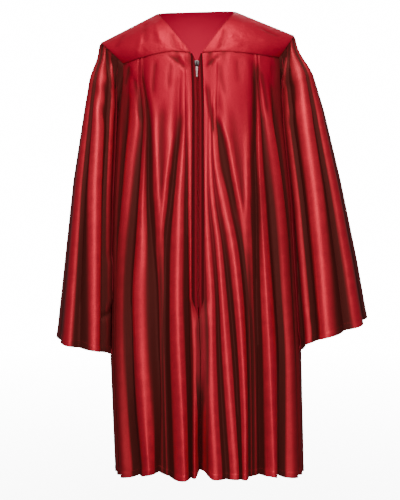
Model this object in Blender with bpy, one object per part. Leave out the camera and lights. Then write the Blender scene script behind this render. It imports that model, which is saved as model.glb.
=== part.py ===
"""A child's graduation gown in red satin, filled out as if worn, at real size.

The frame is in metres with +Z up. The origin is the middle of the neck's base, level with
the shoulder seams at the neck. The front faces -Y. Pieces are named by the wearer's side,
so the wearer's right is at -X. The tables are in millimetres and degrees.
"""

import bpy
import numpy as np

for item in list(bpy.data.objects):
    bpy.data.objects.remove(item, do_unlink=True)

MM = 0.001
RIGHT = -1
LEFT = 1

# Cloth and seams
WALL = 1.3
HEM_WALL = 2.1
HEM_DEPTH = 12
SEAM_GAP = 0.4
STEPS_FOR_HALF_FOLD = 3
STEPS_FOR_HALF_FOLD_AT_BACK = 3
PANEL_ROWS = 11
PANEL_LENGTH = 750
SLEEVE_ROWS = 10
SLEEVE_LENGTH = 460
# How finely the folds are worked out down a panel before its rows are read, and how often its top is refined
SAMPLE_TOP = -40
SAMPLE_COUNT = 160
TOP_PASSES = 12

# The body is a rounded tube: height, centre, half width, half depth
BODY_SECTIONS = np.array((
    (-60, 5, 156, 84),
    (-190, 5, 157, 86),
    (-336, 9, 166, 90),
    (-610, 15, 175, 98),
    (-862, 23, 172, 106),
), float)
BODY_POWER = 2.8
BODY_FLATNESS = 0.55

# Shoulder seams, from the neck out to the tip, for the wearer's right and left
NECK_POINT = {RIGHT: (-74, 4), LEFT: (70, 8)}
SHOULDER_TIP = {RIGHT: (-177, -48), LEFT: (177, -35)}
FRONT_YOKE_CORNER_X = {RIGHT: -133, LEFT: 147}
FRONT_SEAM_FALL = {RIGHT: 23, LEFT: 12}
FRONT_SEAM_TOP = -62
FRONT_SEAM_LEVEL_TO = 40
FRONT_SEAM_DIP = 3
FRONT_SEAM_BOW = 1.5
BACK_YOKE_CORNER_X = {RIGHT: -138, LEFT: 148}
BACK_SEAM_HEIGHT = -104
BACK_SEAM_FALL = 6
BACK_NECK_DEPTH = 24
BACK_NECK_STAND = 7
BACK_NECK_SQUARENESS = 2.5
NECK_EDGE_LEAN = 0.15
# Half the shoulder seam's gap, as an angle of the yoke's arch
SHOULDER_SEAM_ANGLE = SEAM_GAP / 120
YOKE_COLUMNS = 16
YOKE_ROWS = 6
BACK_NECK_COLUMNS = 10
UNDERARM_HEIGHT = {RIGHT: -216, LEFT: -212}

# The zip runs down this line: height, x. The fronts' edges stand this far from it, then meet.
ZIP_LINE = np.array((
    (-62, -2),
    (-110, 0),
    (-150, 1),
    (-500, 1),
    (-600, 5),
    (-862, 4),
), float)
FRONT_EDGE = np.array((
    (-62, 10.5),
    (-500, 10.5),
    (-570, 1.2),
    (-862, 0.6),
), float)
ZIP_TOP = -66
ZIP_BOTTOM = -520
NOTCH_TOP = -545

# Folds of each front, from the zip to the side. Crests and troughs take turns. The columns are
# x at each fold height, then how far the line stands out at each lift height.
FOLD_HEIGHTS = np.array((-150, -260, -400, -560, -820), float)
LIFT_HEIGHTS = np.array((-150, -540, -820), float)
FRONT_FOLDS = {
    RIGHT: np.array((
        (-14, -14, -14, -9, -6, 1.5, 1, -20),
        (-19, -19, -20, -16, -12, -1, -1, -7),
        (-22, -28, -35, -34, -23, 2.5, 8, 14),
        (-30, -40, -57, -57, -54, -2, -6, -11),
        (-58, -63, -69, -66, -63, 4, -4, -12),
        (-92, -88, -84, -72, -74, -4, -9, -15),
        (-96, -95, -104, -111, -87, 1.5, 5, 12),
        (-99, -106, -116, -124, -113, -1, -5, -13),
        (-104, -124, -138, -144, -131, 4, 8, 14),
    )),
    LEFT: np.array((
        (14, 14, 19, 24, 40, 2, 4, 14),
        (17, 18, 28, 38, 50, -0.5, -1, 3),
        (20, 22, 37, 50, 66, 0.5, 4, 9),
        (23, 24, 46, 66, 76, -0.5, -3, 4),
        (26, 28, 62, 79, 87, 1, 7, 12),
        (34, 51, 76, 86, 94, -1.5, -3, -7),
        (58, 76, 89, 94, 100, 4, -4, -10),
        (104, 103, 107, 110, 116, -4, -9, -15),
        (108, 109, 117, 128, 138, 2, 7, 13),
        (114, 124, 134, 149, 154, -2, -6, -13),
        (120, 141, 157, 167, 174, 4, 8, 13),
    )),
}
# Folds round to the side seam: share of the way round at the chest and lower, then the same lifts
SIDE_FOLDS = np.array((
    (0.32, 0.375, -2, -5, -8),
    (0.37, 0.41, 2, 4, 6),
    (0.44, 0.455, -2, -4, -6),
    (0.5, 0.5, 2, 4, 7),
))
CENTRE_NOTCH = -44
BACK_FOLD_COUNT = 9
BACK_FOLD_LIFTS = (3, 8, 13)
BACK_UNEVEN_SPACING = 0.011
BACK_SPACING_PHASE = 2.3
BACK_LEAST_DEPTH = 0.85
BACK_UNEVEN_DEPTH = 0.2
BACK_DEPTH_PHASE = 1.7
FOLDS_FADE_OVER = 55
LEAST_STEP = 0.004
SEAM_GATHER = 0.25

# The hem's height at the sides, how much higher it is at the front and the back, and in each trough
HEM_HEIGHT = -853
FRONT_HEM_RISE = 17
BACK_HEM_RISE = 8
TROUGH_HEM_RISE = 0.7
HEM_ROUNDNESS = 0.7

# Sleeve sections: height, outer edge from the middle, half depth
SLEEVE_SECTIONS = {
    RIGHT: np.array((
        (-50, 181, 60),
        (-90, 193, 64),
        (-170, 207, 68),
        (-300, 228, 72),
        (-450, 245, 76),
        (-600, 262, 82),
    ), float),
    LEFT: np.array((
        (-50, 192, 60),
        (-90, 206, 64),
        (-170, 231, 68),
        (-300, 263, 73),
        (-450, 295, 79),
        (-570, 317, 86),
    ), float),
}
SLEEVE_CLEARANCE = 5
SLEEVE_SEAM_GAP = 1.5
SLEEVE_SEAM_LEAN = 0.6
CUFF_HEIGHT = {RIGHT: (-592, -618), LEFT: (-556, -612)}
CUFF_BOW = 1.7
CUFF_TROUGH_RISE = 0.4
CAP_DEPTH = 70
CAP_FOLDS_AT_SEAM = 0.12
ARMHOLE_CORNER = 56

# Sleeve folds, in degrees round from the outer side to the front, at the cap and at the cuff,
# then how far each stands out at both. Crests and troughs take turns.
SLEEVE_FOLDS = {
    RIGHT: np.array((
        (-12, -10, 2, 4),
        (30, 36, -3, -4),
        (61, 73, 4, 7),
        (80, 94, -4, -8),
        (101, 117, 4, 8),
        (120, 138, -4, -5),
        (140, 156, 4, 3),
        (162, 176, -2, -3),
        (184, 194, 1, 2),
        (206, 213, -2, -4),
        (228, 235, 3, 6),
        (250, 256, -3, -6),
        (272, 276, 4, 7),
        (292, 296, -3, -6),
        (312, 316, 3, 6),
        (332, 334, -2, -4),
    ), float),
    LEFT: np.array((
        (-12, -10, 2, 4),
        (32, 30, -3, -4),
        (59, 60, 4, 8),
        (80, 84, -4, -10),
        (97, 105, 4, 9),
        (120, 114, -4, -9),
        (144, 133, 4, 8),
        (160, 156, -3, -3),
        (184, 186, 1, 2),
        (206, 208, -2, -4),
        (228, 232, 3, 6),
        (250, 254, -3, -7),
        (272, 276, 4, 8),
        (292, 296, -3, -6),
        (312, 316, 3, 7),
        (332, 334, -2, -5),
    ), float),
}

# Zip hardware
TAPE_WALL = 0.8
TAPE_UNDER = 1.5
TAPE_LEAST_WIDTH = 4
ZIP_BEHIND = 0.2
CHAIN_HALF_WIDTH = 2.3
CHAIN_THICKNESS = 1.8
ZIP_ROWS = 16
SLIDER_HEIGHT = -84
SLIDER_LENGTH = 11
SLIDER_WIDTH = 8.6
PLATE = 1.1
WEDGE_WIDTH = 3
WEDGE_LENGTH = 3
BRIDGE_WIDTH = 1.6
BRIDGE_LENGTH = 7.4
BRIDGE_STAND = 3.4
BRIDGE_METAL = 1.1
PULL_LENGTH = 25
PULL_WIDTH = 5.2
PULL_THICKNESS = 1
PULL_BAR = 1.1
PULL_WINDOW_WIDTH = 2.8
PULL_WINDOW_LENGTH = 5
PULL_HOLE_RADIUS = 1.1
PULL_HOLE_FROM_END = 2.6
PULL_HOLE_SIDES = 10
PULL_ROUNDING = 0.3

SATIN = ("red_satin", (0.55, 0.012, 0.03, 1), 0.32, 0.1)
TAPE = ("red_tape", (0.22, 0.006, 0.014, 1), 0.8, 0)
STEEL = ("dark_steel", (0.24, 0.22, 0.22, 1), 0.3, 1)


def material(look):
    name, colour, roughness, metallic = look
    made = bpy.data.materials.get(name) or bpy.data.materials.new(name)
    made.use_nodes = True
    shader = made.node_tree.nodes["Principled BSDF"]
    shader.inputs["Base Color"].default_value = colour
    shader.inputs["Roughness"].default_value = roughness
    shader.inputs["Metallic"].default_value = metallic
    return made


def add_object(name, points, faces, look):
    """One named object from points in millimetres."""
    mesh = bpy.data.meshes.new(name)
    mesh.from_pydata((np.asarray(points) * MM).tolist(), [], faces)
    mesh.materials.append(material(look))
    made = bpy.data.objects.new(name, mesh)
    bpy.context.scene.collection.objects.link(made)
    return made


def at_height(table, column, height):
    """A column of a table whose first column is a falling height, at any heights."""
    return np.interp(-np.asarray(height, float), -table[:, 0], table[:, column])


def ease(value):
    """A smooth step from 0 to 1."""
    value = np.clip(value, 0, 1)
    return value * value * (3 - 2 * value)


# The plain body: a superellipse whose share of the way round grows evenly along its outline.
# The share is 0 at the centre front, 0.5 at the left side, 1 at the centre back, and negative to the right.
QUARTER_ANGLE = np.linspace(0, np.pi / 2, 400)
QUARTER_X = np.sin(QUARTER_ANGLE) ** (2 / BODY_POWER)
QUARTER_Y = BODY_FLATNESS * np.cos(QUARTER_ANGLE) ** (2 / BODY_POWER)
QUARTER_RUN = np.concatenate(([0], np.cumsum(np.hypot(np.diff(QUARTER_X), np.diff(QUARTER_Y)))))
QUARTER_SHARE = 0.5 * QUARTER_RUN / QUARTER_RUN[-1]


def body_point(share, height):
    """x, y and the outward direction of the plain body at a share of the way round."""
    turn = (np.asarray(share, float) + 1) % 2 - 1
    side = np.where(turn < 0, -1.0, 1.0)
    turn = np.abs(turn)
    behind = turn > 0.5
    angle = np.interp(np.where(behind, 1 - turn, turn), QUARTER_SHARE, QUARTER_ANGLE)
    across = side * np.sin(angle) ** (2 / BODY_POWER)
    forward = np.where(behind, -1.0, 1.0) * np.cos(angle) ** (2 / BODY_POWER)
    half_width = at_height(BODY_SECTIONS, 2, height)
    half_depth = at_height(BODY_SECTIONS, 3, height)
    x = at_height(BODY_SECTIONS, 1, height) + half_width * across
    y = -half_depth * forward
    out_x = np.sign(across) * np.abs(across) ** (BODY_POWER - 1) / half_width
    out_y = -np.sign(forward) * np.abs(forward) ** (BODY_POWER - 1) / half_depth
    size = np.hypot(out_x, out_y)
    return x, y, out_x / size, out_y / size


def front_share(x, height):
    """The share of the way round at which the front of the plain body has this x."""
    half_width = at_height(BODY_SECTIONS, 2, height)
    across = (np.asarray(x, float) - at_height(BODY_SECTIONS, 1, height)) / half_width
    across = np.clip(across, -1, 1)
    angle = np.arcsin(np.abs(across) ** (BODY_POWER / 2))
    return np.sign(across) * np.interp(angle, QUARTER_ANGLE, QUARTER_SHARE)


def front_seam(x):
    """Height of the seam between front yoke and front: level, dipping at the zip, falling to the armhole."""
    side = np.where(np.asarray(x) < 0, RIGHT, LEFT)
    corner = np.where(side == RIGHT, -FRONT_YOKE_CORNER_X[RIGHT], FRONT_YOKE_CORNER_X[LEFT])
    fall = np.where(side == RIGHT, FRONT_SEAM_FALL[RIGHT], FRONT_SEAM_FALL[LEFT])
    reach = np.abs(x)
    out = np.clip((reach - FRONT_SEAM_LEVEL_TO) / (corner - FRONT_SEAM_LEVEL_TO), 0, 1)
    inward = np.clip(1 - reach / FRONT_SEAM_LEVEL_TO, 0, 1)
    return FRONT_SEAM_TOP - fall * out**FRONT_SEAM_BOW - FRONT_SEAM_DIP * inward


def back_seam(x):
    """Height of the seam between back yoke and back: level, falling a little to the armholes."""
    return BACK_SEAM_HEIGHT - BACK_SEAM_FALL * (np.asarray(x) / BACK_YOKE_CORNER_X[LEFT]) ** 2


def front_corner(side):
    """Share and height of the point where yoke, front and sleeve meet."""
    x = FRONT_YOKE_CORNER_X[side]
    height = float(front_seam(x))
    return abs(float(front_share(x, height))), height


def back_corner(side):
    x = BACK_YOKE_CORNER_X[side]
    height = float(back_seam(x))
    return 1 - abs(float(front_share(x, height))), height


def armhole_height(side, share, corner):
    """Height of the armhole's edge on a panel: a quarter of an oval from the corner to the underarm."""
    corner_share, corner_height = corner
    way = np.clip((share - corner_share) / (0.5 - corner_share), 0, 1)
    fall = UNDERARM_HEIGHT[side] - corner_height
    return corner_height + fall * np.sqrt(1 - (1 - way) ** 2)


def surface_directions(points, wrap):
    """Unit directions square to a grid of points, from the runs along its rows and columns."""
    if wrap:
        across = np.roll(points, -1, axis=1) - np.roll(points, 1, axis=1)
    else:
        across = np.gradient(points, axis=1)
    down = np.gradient(points, axis=0)
    out = np.cross(down, across)
    return out / np.linalg.norm(out, axis=2, keepdims=True)


def add_wall(name, points, thickness, look, wrap=False, seam_directions=None):
    """A wall whose outer face is a grid of points. Rows run down, columns run to the wearer's left.

    thickness is one value or one for each row. With wrap, the last column joins the first.
    seam_directions, a grid too, gives the way through the wall where it isn't nan, at its seams.
    """
    rows, columns = points.shape[:2]
    thickness = np.broadcast_to(thickness, (rows,))[:, None, None]
    out = surface_directions(points, wrap)
    if seam_directions is not None:
        out = np.where(np.isnan(seam_directions), out, seam_directions)
    inner = points - out * thickness
    index = np.arange(rows * columns).reshape(rows, columns)
    back = index + rows * columns
    if wrap:
        index = np.concatenate((index, index[:, :1]), axis=1)
        back = np.concatenate((back, back[:, :1]), axis=1)

    def quads(a, b, c, d):
        return np.stack((a.ravel(), b.ravel(), c.ravel(), d.ravel()), axis=1).tolist()

    faces = quads(index[:-1, :-1], index[1:, :-1], index[1:, 1:], index[:-1, 1:])
    faces += quads(back[:-1, :-1], back[:-1, 1:], back[1:, 1:], back[1:, :-1])
    faces += quads(index[0, :-1], index[0, 1:], back[0, 1:], back[0, :-1])
    faces += quads(index[-1, 1:], index[-1, :-1], back[-1, :-1], back[-1, 1:])
    if not wrap:
        faces += quads(index[1:, 0], index[:-1, 0], back[:-1, 0], back[1:, 0])
        faces += quads(index[:-1, -1], index[1:, -1], back[1:, -1], back[:-1, -1])
    joined = np.concatenate((points.reshape(-1, 3), inner.reshape(-1, 3)))
    return add_object(name, joined, faces, look)


def hem_walls(rows):
    """Wall thickness for each row: single cloth, doubled over the last two rows."""
    thickness = np.full(rows, float(WALL))
    thickness[-2:] = HEM_WALL
    return thickness


def row_shares(rows, length):
    """How far down each row lies, from 0 to 1: even, with a last row as deep as the hem."""
    hem = HEM_DEPTH / length
    return np.concatenate((np.linspace(0, 1 - hem, rows), (1,)))


def between_knots(knots, columns):
    """Columns read between knots: along the last axis, with the share of each step eased for heights."""
    start = np.minimum(columns.astype(int), knots.shape[-1] - 2)
    step = columns - start
    plain = knots[..., start] * (1 - step) + knots[..., start + 1] * step
    wave = (1 - np.cos(np.pi * step)) / 2
    eased = knots[..., start] * (1 - wave) + knots[..., start + 1] * wave
    return plain, eased


def lift_at(lifts, height):
    """Stand-outs read between the lift heights, for a table whose last three columns they are."""
    return np.array([np.interp(-height, -LIFT_HEIGHTS, row[-3:]) for row in np.atleast_2d(lifts)])


def front_knots(side, height):
    """Share of the way round, and stand-out, of each crest and trough of a front at one height."""
    table = FRONT_FOLDS[side]
    x = [np.interp(-height, -FOLD_HEIGHTS, row[:5]) for row in table]
    shares = np.abs(front_share(x, height))
    edge_x = at_height(ZIP_LINE, 1, height) + side * at_height(FRONT_EDGE, 1, height)
    edge = side * float(front_share(edge_x, height))
    notch = CENTRE_NOTCH * ease((NOTCH_TOP - height) / (NOTCH_TOP - HEM_HEIGHT))
    settled = np.clip((FOLD_HEIGHTS[0] - height) / (FOLD_HEIGHTS[0] - FOLD_HEIGHTS[2]), 0, 1)
    side_shares = SIDE_FOLDS[:, 0] + (SIDE_FOLDS[:, 1] - SIDE_FOLDS[:, 0]) * settled
    all_shares = np.concatenate(((edge,), shares, side_shares))
    all_lifts = np.concatenate(((notch,), lift_at(table, height), lift_at(SIDE_FOLDS, height)))
    number = np.arange(len(all_shares))
    spread = np.maximum.accumulate(all_shares - LEAST_STEP * number) + LEAST_STEP * number
    return np.minimum(spread, 0.5 - LEAST_STEP * number[::-1]), all_lifts


def back_knots(height):
    """The same for the back, whose folds are spaced by a loop, a little unevenly."""
    number = np.arange(2 * BACK_FOLD_COUNT + 1)
    uneven = BACK_UNEVEN_SPACING * np.sin(BACK_SPACING_PHASE * number) * np.sin(np.pi * number / number[-1])
    shares = 0.5 + number / number[-1] + uneven
    depth = lift_at(BACK_FOLD_LIFTS, height)
    strength = BACK_LEAST_DEPTH + BACK_UNEVEN_DEPTH * np.sin(BACK_DEPTH_PHASE * number)
    lifts = depth * np.where(number % 2 == 0, 1, -1) * strength
    lifts[[0, -1]] = lift_at(SIDE_FOLDS[-1], height)
    return shares, lifts


def panel_points(knots_at, top_of, steps, side):
    """Grid of a hanging panel: columns follow the folds, rows run from its top edge to the hem."""
    count = len(knots_at(float(HEM_HEIGHT))[0])
    columns = np.linspace(0, count - 1, (count - 1) * steps + 1)
    heights = np.linspace(SAMPLE_TOP, HEM_HEIGHT - HEM_DEPTH, SAMPLE_COUNT)
    shares = []
    lifts = []
    for height in heights:
        knot_shares, knot_lifts = knots_at(height)
        shares.append(between_knots(knot_shares, columns)[0])
        lifts.append(between_knots(knot_lifts, columns)[1])
    shares = np.array(shares)
    lifts = np.array(lifts)

    def read(table, wanted):
        found = [np.interp(-wanted[:, k], -heights, table[:, k]) for k in range(len(columns))]
        return np.stack(found, axis=1)

    top = np.full((1, len(columns)), float(BACK_SEAM_HEIGHT))
    for _ in range(TOP_PASSES):
        top = top_of(read(shares, top))
    low = np.full((1, len(columns)), float(HEM_HEIGHT))
    low_share = read(shares, low)
    toward_front = np.cos(np.pi * low_share)
    rise = np.where(toward_front > 0, FRONT_HEM_RISE, BACK_HEM_RISE) * np.abs(toward_front) ** HEM_ROUNDNESS
    low = low + rise - TROUGH_HEM_RISE * np.minimum(read(lifts, low), 0)
    down = row_shares(PANEL_ROWS, PANEL_LENGTH)[:, None]
    height = top * (1 - down) + low * down
    share = read(shares, height)
    fade = ease((top - height) / FOLDS_FADE_OVER)
    lift = read(lifts, height) * (SEAM_GATHER + (1 - SEAM_GATHER) * fade)
    x, y, out_x, out_y = body_point(side * share, height)
    grid = np.stack((x + out_x * lift, y + out_y * lift, height), axis=2)
    out = np.stack((out_x, out_y, np.zeros_like(out_x)), axis=2)
    out[1:, 1:-1] = np.nan
    return (grid, out) if side == LEFT else (grid[:, ::-1], out[:, ::-1])


def seam_shift(grid, column, amount):
    """Draw one end column in from the seam, along the rows."""
    inside = 1 if column == 0 else -2
    run = grid[:, inside] - grid[:, column]
    grid[:, column] += run / np.linalg.norm(run, axis=1, keepdims=True) * amount


def add_front(side, name):
    corner = front_corner(side)

    def top_of(share):
        x = body_point(side * np.minimum(share, corner[0]), corner[1])[0]
        on_seam = front_seam(x) - SEAM_GAP
        return np.where(share <= corner[0], on_seam, armhole_height(side, share, corner) - SEAM_GAP)

    grid, out = panel_points(lambda height: front_knots(side, height), top_of, STEPS_FOR_HALF_FOLD, side)
    seam_shift(grid, -1 if side == LEFT else 0, SEAM_GAP / 2)
    add_wall(name, grid, hem_walls(len(grid)), SATIN, seam_directions=out)


def add_back():
    corners = {side: back_corner(side) for side in (RIGHT, LEFT)}

    def top_of(share):
        turned = np.where(share > 1, 2 - share, share)
        heights = []
        for side in (LEFT, RIGHT):
            corner = corners[side]
            x = body_point(side * np.maximum(turned, corner[0]), corner[1])[0]
            armhole = armhole_height(side, 1 - turned, (1 - corner[0], corner[1]))
            heights.append(np.where(turned >= corner[0], back_seam(x), armhole) - SEAM_GAP)
        return np.where(share > 1, heights[1], heights[0])

    grid, out = panel_points(back_knots, top_of, STEPS_FOR_HALF_FOLD_AT_BACK, LEFT)
    seam_shift(grid, 0, SEAM_GAP / 2)
    seam_shift(grid, -1, SEAM_GAP / 2)
    add_wall("back", grid, hem_walls(len(grid)), SATIN, seam_directions=out)


def yoke_arch(ridge_x, ridge_height, seam_x, seam_height, angle, facing):
    """A point of a yoke: an arch from the shoulder line over to the seam, where it hangs straight."""
    depth = np.abs(body_point(front_share(seam_x, seam_height), seam_height)[1])
    over = 1 - np.cos(angle)
    across = (1 - NECK_EDGE_LEAN) * over + NECK_EDGE_LEAN * np.sin(angle)
    x = ridge_x + (seam_x - ridge_x) * across
    y = facing * depth * np.sin(angle)
    height = ridge_height + (seam_height - ridge_height) * over
    return np.stack((x, y, height), axis=-1)


def ridge(side, way):
    """The shoulder seam's x and height, from the neck at 0 to the tip at 1."""
    neck = NECK_POINT[side]
    tip = SHOULDER_TIP[side]
    return neck[0] + (tip[0] - neck[0]) * way, neck[1] + (tip[1] - neck[1]) * way


def yoke_directions(grid, seam_x, seam_height):
    """The way through a yoke at its two seams: up at the shoulder, straight out at the lower seam."""
    out = np.full(grid.shape, np.nan)
    slope = np.gradient(grid[0, :, 2]) / np.gradient(grid[0, :, 0])
    steep = np.hypot(slope, 1)
    out[0] = np.stack((-slope / steep, np.zeros_like(slope), 1 / steep), axis=1)
    share = np.broadcast_to(front_share(seam_x, seam_height), slope.shape)
    out_x, out_y = body_point(share, np.broadcast_to(seam_height, slope.shape))[2:]
    out[-1] = np.stack((out_x, np.sign(grid[-1, :, 1]) * np.abs(out_y), np.zeros_like(out_x)), axis=1)
    return out


def add_front_yoke(side, name):
    way = np.linspace(0, 1, YOKE_COLUMNS + 1)[None, :]
    angle = np.linspace(SHOULDER_SEAM_ANGLE, np.pi / 2, YOKE_ROWS + 1)[:, None]
    ridge_x, ridge_height = ridge(side, way)
    top_edge = at_height(ZIP_LINE, 1, FRONT_SEAM_TOP) + side * at_height(FRONT_EDGE, 1, FRONT_SEAM_TOP)
    seam_x = top_edge + (FRONT_YOKE_CORNER_X[side] - top_edge) * way
    grid = yoke_arch(ridge_x, ridge_height, seam_x, front_seam(seam_x), angle, -1)
    out = yoke_directions(grid, seam_x[0], front_seam(seam_x[0]))
    if side == RIGHT:
        grid = grid[:, ::-1]
        out = out[:, ::-1]
    add_wall(name, grid, WALL, SATIN, seam_directions=out)


def back_yoke_columns():
    """Each column's shoulder-line x and height, seam x and first angle, from the right tip to the left."""
    shoulder = np.linspace(1, 0, YOKE_COLUMNS // 2 + 3)
    right_x, right_height = ridge(RIGHT, shoulder)
    left_x, left_height = ridge(LEFT, shoulder[::-1])
    neck = np.linspace(-1, 1, BACK_NECK_COLUMNS + 1)[1:-1]
    half = (neck + 1) / 2
    neck_x = NECK_POINT[RIGHT][0] + (NECK_POINT[LEFT][0] - NECK_POINT[RIGHT][0]) * half
    neck_height = NECK_POINT[RIGHT][1] + (NECK_POINT[LEFT][1] - NECK_POINT[RIGHT][1]) * half
    neck_height = neck_height + BACK_NECK_STAND * (1 - neck**2)
    scoop = BACK_NECK_DEPTH * (1 - np.abs(neck) ** BACK_NECK_SQUARENESS)
    ridge_x = np.concatenate((right_x, neck_x, left_x))
    ridge_height = np.concatenate((right_height, neck_height, left_height))
    tips = SHOULDER_TIP[RIGHT][0], SHOULDER_TIP[LEFT][0]
    seam_x = np.interp(ridge_x, tips, (BACK_YOKE_CORNER_X[RIGHT], BACK_YOKE_CORNER_X[LEFT]))
    depth = np.abs(body_point(front_share(seam_x, back_seam(seam_x)), back_seam(seam_x))[1])
    edge = np.concatenate((np.zeros(len(shoulder)), scoop, np.zeros(len(shoulder))))
    first = np.maximum(np.arcsin(edge / depth), SHOULDER_SEAM_ANGLE)
    return ridge_x, ridge_height, seam_x, first


def add_back_yoke():
    ridge_x, ridge_height, seam_x, first = back_yoke_columns()
    down = np.linspace(0, 1, YOKE_ROWS + 1)[:, None]
    angle = first + (np.pi / 2 - first) * down
    grid = yoke_arch(ridge_x, ridge_height, seam_x, back_seam(seam_x), angle, 1)
    out = yoke_directions(grid, seam_x, back_seam(seam_x))
    on_neck = first > 2 * SHOULDER_SEAM_ANGLE
    out[0, on_neck] = np.nan
    add_wall("yoke_back", grid[:, ::-1], WALL, SATIN, seam_directions=out[:, ::-1])


def armhole_point(side, degrees):
    """The armhole's edge, all round: 0 at the shoulder tip, through the front, 180 at the underarm."""
    degrees = np.asarray(degrees, float) % 360
    behind = degrees > 180
    turn = np.where(behind, 360 - degrees, degrees)
    on_yoke = turn < ARMHOLE_CORNER
    tip_x, tip_height = SHOULDER_TIP[side]
    found = []
    for facing, corner_x, seam in ((-1, FRONT_YOKE_CORNER_X, front_seam), (1, BACK_YOKE_CORNER_X, back_seam)):
        angle = np.minimum(turn / ARMHOLE_CORNER, 1) * np.pi / 2
        upper = yoke_arch(tip_x, tip_height, corner_x[side], seam(corner_x[side]), angle, facing)
        corner_share, corner_height = front_corner(side) if facing < 0 else back_corner(side)
        if facing > 0:
            corner_share = 1 - corner_share
        way = np.clip((turn - ARMHOLE_CORNER) / (180 - ARMHOLE_CORNER), 0, 1) * np.pi / 2
        share = corner_share + (0.5 - corner_share) * (1 - np.cos(way))
        height = corner_height + (UNDERARM_HEIGHT[side] - corner_height) * np.sin(way)
        x, y = body_point(side * share, height)[:2]
        lower = np.stack((x, facing * np.abs(y), height), axis=-1)
        found.append(np.where(on_yoke[..., None], upper, lower))
    return np.where(behind[..., None], found[1], found[0])


def sleeve_points(side):
    """Grid of a sleeve, round from its outer side by the front: an armhole that eases into ovals."""
    table = SLEEVE_FOLDS[side]
    closed = np.concatenate((table, table[:1] + np.array((360, 360, 0, 0))))
    columns = np.linspace(0, len(table), len(table) * STEPS_FOR_HALF_FOLD + 1)[:-1]
    cap_turn = between_knots(closed[:, 0], columns)[0]
    cuff_turn = between_knots(closed[:, 1], columns)[0]
    cap_lift = between_knots(closed[:, 2], columns)[1]
    cuff_lift = between_knots(closed[:, 3], columns)[1]
    ring = armhole_point(side, cap_turn)
    down = row_shares(SLEEVE_ROWS, SLEEVE_LENGTH)[:, None]
    turn = np.radians(cap_turn + (cuff_turn - cap_turn) * down)
    outer_cuff, inner_cuff = CUFF_HEIGHT[side]
    inward = (1 - np.cos(np.radians(cuff_turn))) / 2
    cuff = outer_cuff + (inner_cuff - outer_cuff) * inward**CUFF_BOW
    cuff = cuff - CUFF_TROUGH_RISE * np.minimum(cuff_lift, 0)
    start = ring[:, 2]
    height = start + (cuff - start) * down
    outer = at_height(SLEEVE_SECTIONS[side], 1, height)
    half_depth = at_height(SLEEVE_SECTIONS[side], 2, height)
    body_side = side * body_point(side * 0.5 * np.ones_like(height), height)[0]
    side_lift = np.interp(-height, -LIFT_HEIGHTS, SIDE_FOLDS[-1, 2:])
    inner = body_side + side_lift + SLEEVE_CLEARANCE
    lift = cap_lift + (cuff_lift - cap_lift) * down
    lift = lift * ease((start - height) / CAP_DEPTH + CAP_FOLDS_AT_SEAM)
    oval_x = (outer + inner) / 2 + (outer - inner) / 2 * np.cos(turn)
    oval_y = -half_depth * np.sin(turn)
    out_x = np.cos(turn) * half_depth
    out_y = -np.sin(turn) * (outer - inner) / 2
    size = np.hypot(out_x, out_y)
    settle = ease((start - height) / CAP_DEPTH)
    ring_x = side * ring[:, 0] + SLEEVE_SEAM_GAP + SLEEVE_SEAM_LEAN * np.cos(np.radians(cap_turn))
    x = ring_x * (1 - settle) + oval_x * settle + out_x / size * lift
    y = ring[:, 1] * (1 - settle) + oval_y * settle + out_y / size * lift
    return np.stack((side * x, y, height), axis=2)


def add_sleeve(side, name):
    grid = sleeve_points(side)
    add_wall(name, grid if side == RIGHT else grid[:, ::-1], hem_walls(len(grid)), SATIN, wrap=True)


def zip_surface(offset, height):
    """A point of the zip's plane, behind the fronts, at an offset from its line."""
    x = at_height(ZIP_LINE, 1, height) + offset
    y = -at_height(BODY_SECTIONS, 3, height) + WALL + SEAM_GAP + ZIP_BEHIND
    return np.stack(np.broadcast_arrays(x, y, height), axis=-1)


def add_tape(side, name):
    height = np.linspace(ZIP_TOP, ZIP_BOTTOM, ZIP_ROWS + 1)[:, None]
    near = CHAIN_HALF_WIDTH + SEAM_GAP
    far = at_height(FRONT_EDGE, 1, height) + TAPE_UNDER
    far = np.maximum(far, near + TAPE_LEAST_WIDTH)
    offset = near + (far - near) * np.linspace(0, 1, 2)[None, :]
    grid = zip_surface(side * offset, height)
    add_wall(name, grid if side == LEFT else grid[:, ::-1], TAPE_WALL, TAPE)


def add_chain():
    top = SLIDER_HEIGHT + SLIDER_LENGTH / 2 - WEDGE_LENGTH - SEAM_GAP
    height = np.linspace(top, ZIP_BOTTOM, ZIP_ROWS + 1)[:, None]
    offset = CHAIN_HALF_WIDTH * np.linspace(-1, 1, 2)[None, :]
    grid = zip_surface(offset, height)
    grid[..., 1] -= (CHAIN_THICKNESS - TAPE_WALL) / 2
    add_wall("zip_chain", grid, CHAIN_THICKNESS, TAPE)


def box(name, centre, size, look):
    """A plain block with its centre and its three sides in millimetres."""
    corners = np.array([(x, y, z) for x in (-1, 1) for y in (-1, 1) for z in (-1, 1)]) / 2
    faces = [(0, 1, 3, 2), (4, 6, 7, 5), (0, 4, 5, 1), (2, 3, 7, 6), (0, 2, 6, 4), (1, 5, 7, 3)]
    return add_object(name, corners * np.array(size) + np.array(centre), faces, look)


def combine(target, other, operation):
    """Join or cut a helper object into another, then hide it."""
    change = target.modifiers.new(operation.lower(), "BOOLEAN")
    change.operation = operation
    change.object = other
    other.hide_render = True
    other.display_type = "WIRE"


def slider_face():
    """x of the slider's middle, and y of its front plate's front and back faces."""
    middle = zip_surface(0, SLIDER_HEIGHT)
    plate_back = middle[1] - (CHAIN_THICKNESS - TAPE_WALL) / 2 - SEAM_GAP
    return middle[0], plate_back - PLATE, plate_back


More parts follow.
